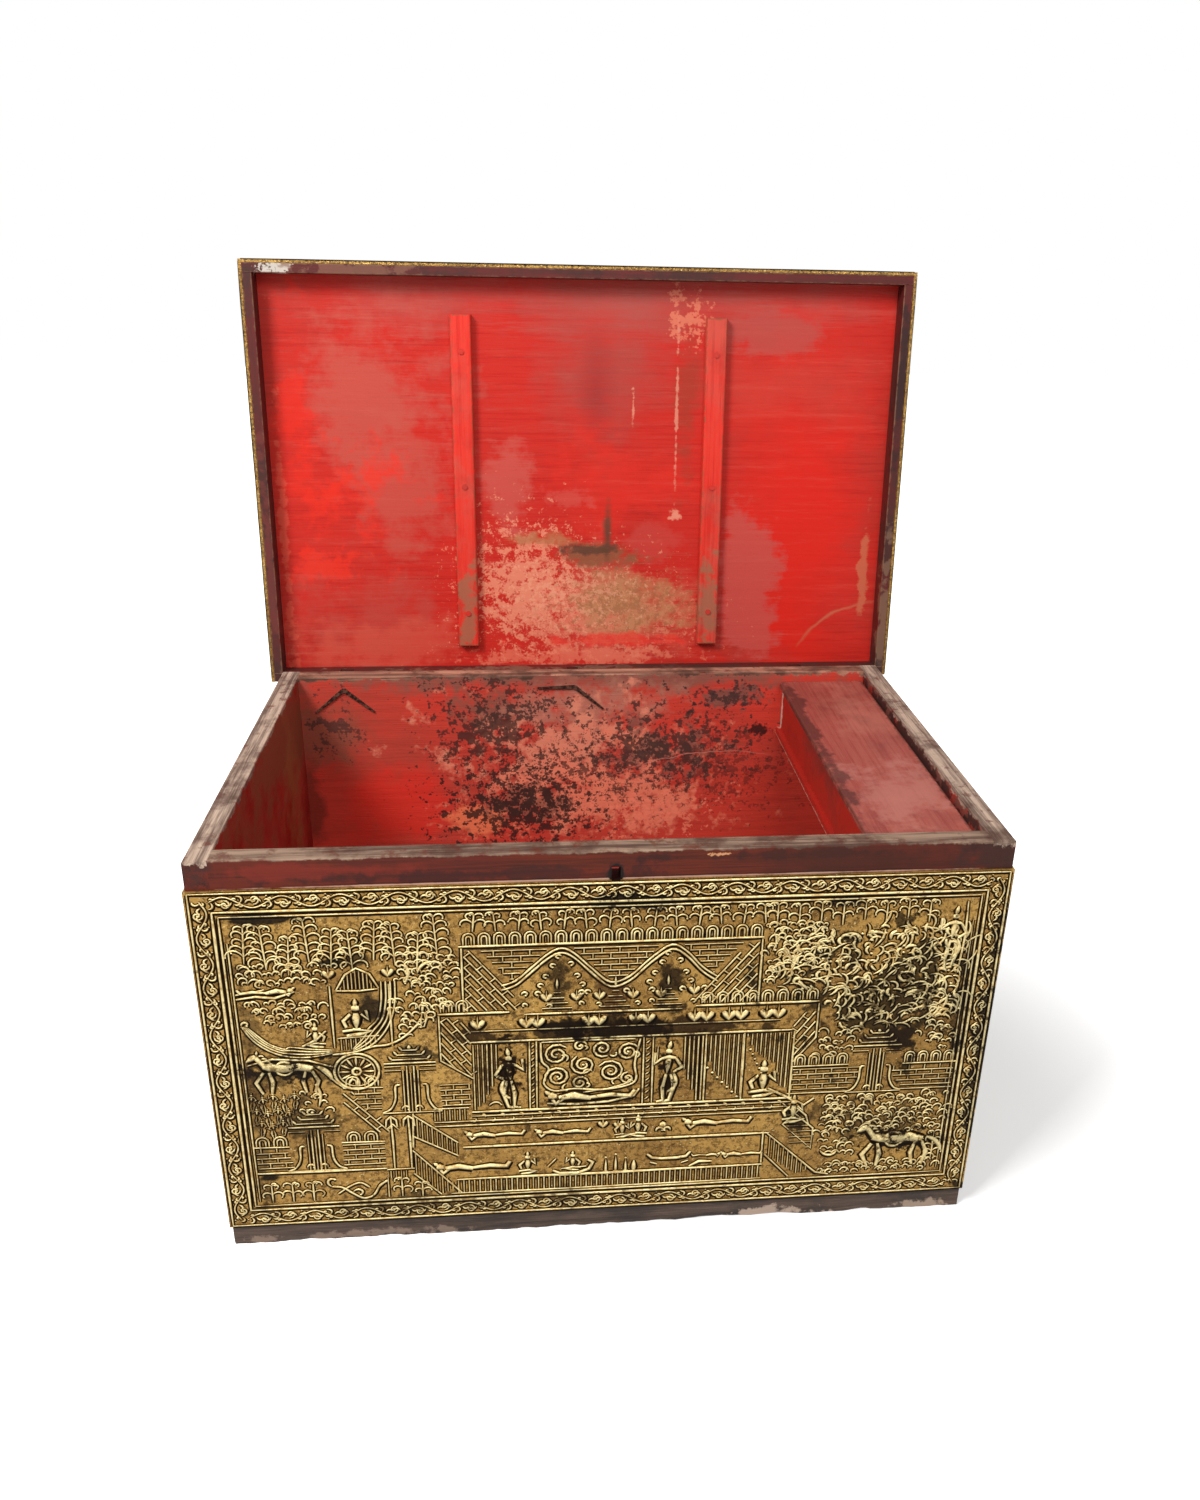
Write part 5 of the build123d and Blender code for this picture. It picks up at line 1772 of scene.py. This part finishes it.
FRONT_WEAR = Plane.GOLD.patches(
    (-0.372, 0.459, 0.055, 0.007, 21, 17, 14, 0.95, 0.35, 0.6, 60),
    (-0.310, 0.403, 0.020, 0.007, 20, 16, 12, 0.95, 0.35, 0.5, 70),
    (-0.279, 0.405, 0.014, 0.009, 37, 24, 11, 0.85, 0.4, 0.6, 70),
    (-0.265, 0.342, 0.016, 0.022, 25, 21, 17, 0.9, 0.5, 0.6, 70),
    (-0.228, 0.272, 0.034, 0.018, 30, 25, 20, 0.85, 0.4, 0.8, 80),
    (0.030, 0.467, 0.060, 0.010, 20, 16, 12, 0.95, 0.35, 0.7, 60),
    (0.262, 0.459, 0.022, 0.008, 24, 17, 12, 0.9, 0.4, 0.7, 80),
    (-0.060, 0.362, 0.018, 0.034, 27, 17, 12, 0.85, 0.4, 0.8, 70),
    (0.070, 0.352, 0.020, 0.034, 25, 17, 12, 0.9, 0.4, 0.8, 70),
    (0.006, 0.346, 0.016, 0.034, 52, 27, 17, 0.7, 0.4, 0.8, 70),
    (0.028, 0.297, 0.20, 0.013, 46, 31, 18, 0.92, 0.3, 0.7, 60),
    (0.020, 0.300, 0.060, 0.016, 24, 16, 10, 0.9, 0.3, 1.0, 80),
    (-0.055, 0.302, 0.035, 0.012, 22, 15, 10, 0.9, 0.3, 1.0, 80),
    (-0.116, 0.238, 0.011, 0.042, 34, 22, 12, 1.7, 0.4, 0.9, 120),
    (0.070, 0.238, 0.011, 0.042, 34, 22, 12, 1.7, 0.4, 0.9, 120),
    (-0.020, 0.200, 0.055, 0.010, 30, 20, 11, 0.85, 0.3, 1.0, 110, 0.1),
    (-0.362, 0.262, 0.050, 0.018, 32, 23, 14, 1.2, 0.3, 1.1, 120, 0.2),
    (0.352, 0.116, 0.050, 0.022, 34, 24, 14, 1.2, 0.3, 1.1, 130, 0.2),
    (0.225, 0.158, 0.014, 0.022, 28, 19, 12, 0.85, 0.3, 1.1, 100, 0.1),
    (0.0, 0.25, 0.43, 0.20, 40, 26, 14, 0.7, 0.2, 1.15, 130, 1.15),
    (0.325, 0.335, 0.095, 0.065, 21, 17, 12, 0.85, 0.25, 1.3, 70),
    (0.325, 0.270, 0.05, 0.014, 32, 22, 16, 0.8, 0.4, 0.8, 70),
    (-0.370, 0.252, 0.055, 0.030, 38, 30, 21, 0.65, 0.4, 1.1, 80),
    (-0.345, 0.182, 0.040, 0.016, 35, 27, 20, 0.7, 0.4, 1.0, 80),
    (-0.398, 0.104, 0.014, 0.007, 16, 14, 11, 0.95, 0.4, 0.4, 60),
    (0.31, 0.14, 0.06, 0.03, 40, 29, 19, 0.65, 0.4, 1.2, 90),
    (-0.17, 0.052, 0.25, 0.016, 36, 26, 19, 0.7, 0.5, 1.0, 50),
    (0.446, 0.26, 0.012, 0.22, 16, 12, 11, 0.9, 0.4, 0.8, 60),
    (-0.405, 0.22, 0.012, 0.24, 37, 26, 20, 0.6, 0.5, 1.0, 60),
    (0.414, 0.30, 0.010, 0.16, 27, 20, 16, 0.7, 0.5, 1.0, 60),
)


LID_FRONT_WEAR = Plane.LID_GOLD.patches(
    (-0.30, 0.030, 0.16, 0.020, 34, 22, 16, 0.9, 0.3, 1.1, 60),
    (0.12, 0.030, 0.25, 0.020, 48, 30, 18, 0.85, 0.3, 1.2, 50),
    (0.40, 0.034, 0.07, 0.012, 30, 20, 14, 0.9, 0.3, 1.0, 60),
    (-0.43, 0.034, 0.03, 0.010, 226, 214, 190, 0.8, 0.3, 1.2, 120, 0.3),
)


@dataclass(frozen=True)
class Studio:
    """The camera, the floor, the white round it and the lamps."""

    pixels: tuple[int, int] = (1200, 1500)
    focal: float = 1154.5
    centre: Point = (634.4, 695.0)
    sensor: float = 36.0
    place: Triple = (-0.0876, -1.3620, 1.1503)
    turn: Triple = (68.0235, -1.251, -5.1492)

    def add_camera(self) -> None:
        """Makes the camera at the photograph's viewing angle."""
        data = bpy.data.cameras.new("camera")
        long_side = max(self.pixels)
        data.sensor_width = self.sensor
        data.lens = self.focal * self.sensor / long_side
        data.shift_x = (self.pixels[0] / 2 - self.centre[0]) / long_side
        data.shift_y = (self.centre[1] - self.pixels[1] / 2) / long_side
        camera = bpy.data.objects.new("camera", data)
        camera.location = self.place
        camera.rotation_euler = [math.radians(angle) for angle in self.turn]
        bpy.context.scene.collection.objects.link(camera)
        bpy.context.scene.camera = camera

    def add_floor(self) -> None:
        """Makes the pale floor, which keeps the chest's shadow; its glow is weaker near a spot right of the
        chest, a painted shade round that shadow.
        """
        shape = bmesh.new()
        bmesh.ops.create_grid(shape, x_segments=2, y_segments=2, size=9.0)
        material, n, shader, spot = new_material("pale_floor")
        seen = n.add("LightPath").outputs
        share = n.math("MAXIMUM", seen["Is Camera Ray"], n.times(seen["Is Glossy Ray"], 0.15))
        away = n.vector("DISTANCE", spot, (0.30, -0.1, 0.0)).outputs["Value"]
        # Painted shade: the glow falls off towards a spot right of the chest, so the floor is darker round
        # the chest and its real shadow.
        glow_with_painted_shade = n.remap(away, 0.3, 0.95, 0.28, 1.2)
        lift = n.times(n.math("MAXIMUM", share, seen["Is Transmission Ray"]), glow_with_painted_shade)
        for name, value in {"Base Color": rgb(236, 236, 236), "Roughness": 0.9, "Specular IOR Level": 0.0,
                            "Emission Color": rgb(255, 255, 255), "Emission Strength": lift}.items():
            n.join(value, shader.inputs[name])
        floor = add_piece("floor", shape, material)

    def add_surround(self) -> None:
        """Makes the world: white where it is seen or mirrored, and a soft grey light otherwise."""
        world = bpy.data.worlds.new("surround")
        bpy.context.scene.world = world
        world.use_nodes = True
        n = Nodes(world.node_tree)
        back = world.node_tree.nodes["Background"]
        seen = n.add("LightPath").outputs
        plain = n.math("MAXIMUM", seen["Is Camera Ray"], seen["Is Transmission Ray"])
        strength = n.math("MAXIMUM", plain, n.times(seen["Is Glossy Ray"], 0.85))
        n.join((1.0, 1.0, 1.0, 1.0), back.inputs["Color"])
        n.join(n.math("MAXIMUM", strength, 0.42), back.inputs["Strength"])

    def add_lamp(self, name: str, place: Vector, target: Vector, size: float, power: float) -> None:
        """Adds a square lamp.

        Args:
            name: Its name.
            place: Where it stands.
            target: What it faces.
            size: The length of its side.
            power: Its power in watts.
        """
        data = bpy.data.lights.new(name, "AREA")
        data.size = size
        data.energy = power
        lamp = bpy.data.objects.new(name, data)
        turned = (target - place).to_track_quat("-Z", "Y").to_matrix().to_4x4()
        lamp.matrix_world = Matrix.Translation(place) @ turned
        bpy.context.scene.collection.objects.link(lamp)

    def build(self) -> None:
        """Builds the whole studio."""
        self.add_camera()
        self.add_floor()
        self.add_surround()
        self.add_lamp("key", Vector((-1.7, -1.5, 3.0)), Vector((0.0, 0.0, 0.45)), 0.9, 96.0)
        self.add_lamp("fill", Vector((0.5, -2.7, 3.0)), Vector((0.0, 0.0, 0.5)), 1.2, 44.0)
        bpy.context.scene.view_settings.view_transform = "Standard"


def gilded_faces() -> list[tuple[GildedFace, list[Relief]]]:
    """Returns every gilded face with its drawn reliefs."""
    side = ScrollField((-277.0, 31.5), (277.0, 493.5))
    top = ScrollField((-466.0, -590.0), (466.0, -2.0), 28.0, 19.0, 64.0)
    skirt = ScrollField((-466.0, -8.0), (466.0, 38.0), 46.0, 26.0)
    flank_left = ScrollField((2.0, -8.0), (590.0, 38.0), 46.0, 26.0)
    flank_right = ScrollField((-590.0, -8.0), (-2.0, 38.0), 46.0, 26.0)
    return [
        (GildedFace(Face.FRONT, FRONT_WEAR), FrontField().draw()),
        (GildedFace(Face.LEFT), [side.draw("left_side_relief", 21)]),
        (GildedFace(Face.RIGHT), [side.draw("right_side_relief", 22)]),
        (GildedFace(Face.LID_TOP), [top.draw("lid_top_relief", 23)]),
        (GildedFace(Face.LID_FRONT, LID_FRONT_WEAR), [skirt.draw("lid_front_relief", 24)]),
        (GildedFace(Face.LID_LEFT), [flank_left.draw("lid_left_relief", 25)]),
        (GildedFace(Face.LID_RIGHT), [flank_right.draw("lid_right_relief", 26)]),
    ]


def main() -> None:
    """Builds the chest's looks in order."""
    logging.basicConfig(level=logging.INFO, format="%(name)s: %(message)s")
    lid = LidSpace.from_joints(frame["joints"])
    Studio().build()
    effects = Effects(lid)
    Chest().dress(effects)
    Till().dress(effects)
    Lid().dress(effects)
    for gilded, reliefs in gilded_faces():
        gilded.dress(effects, reliefs)
        log.info("%s: dressed", gilded.face.value)


if __name__ == "__main__":
    main()
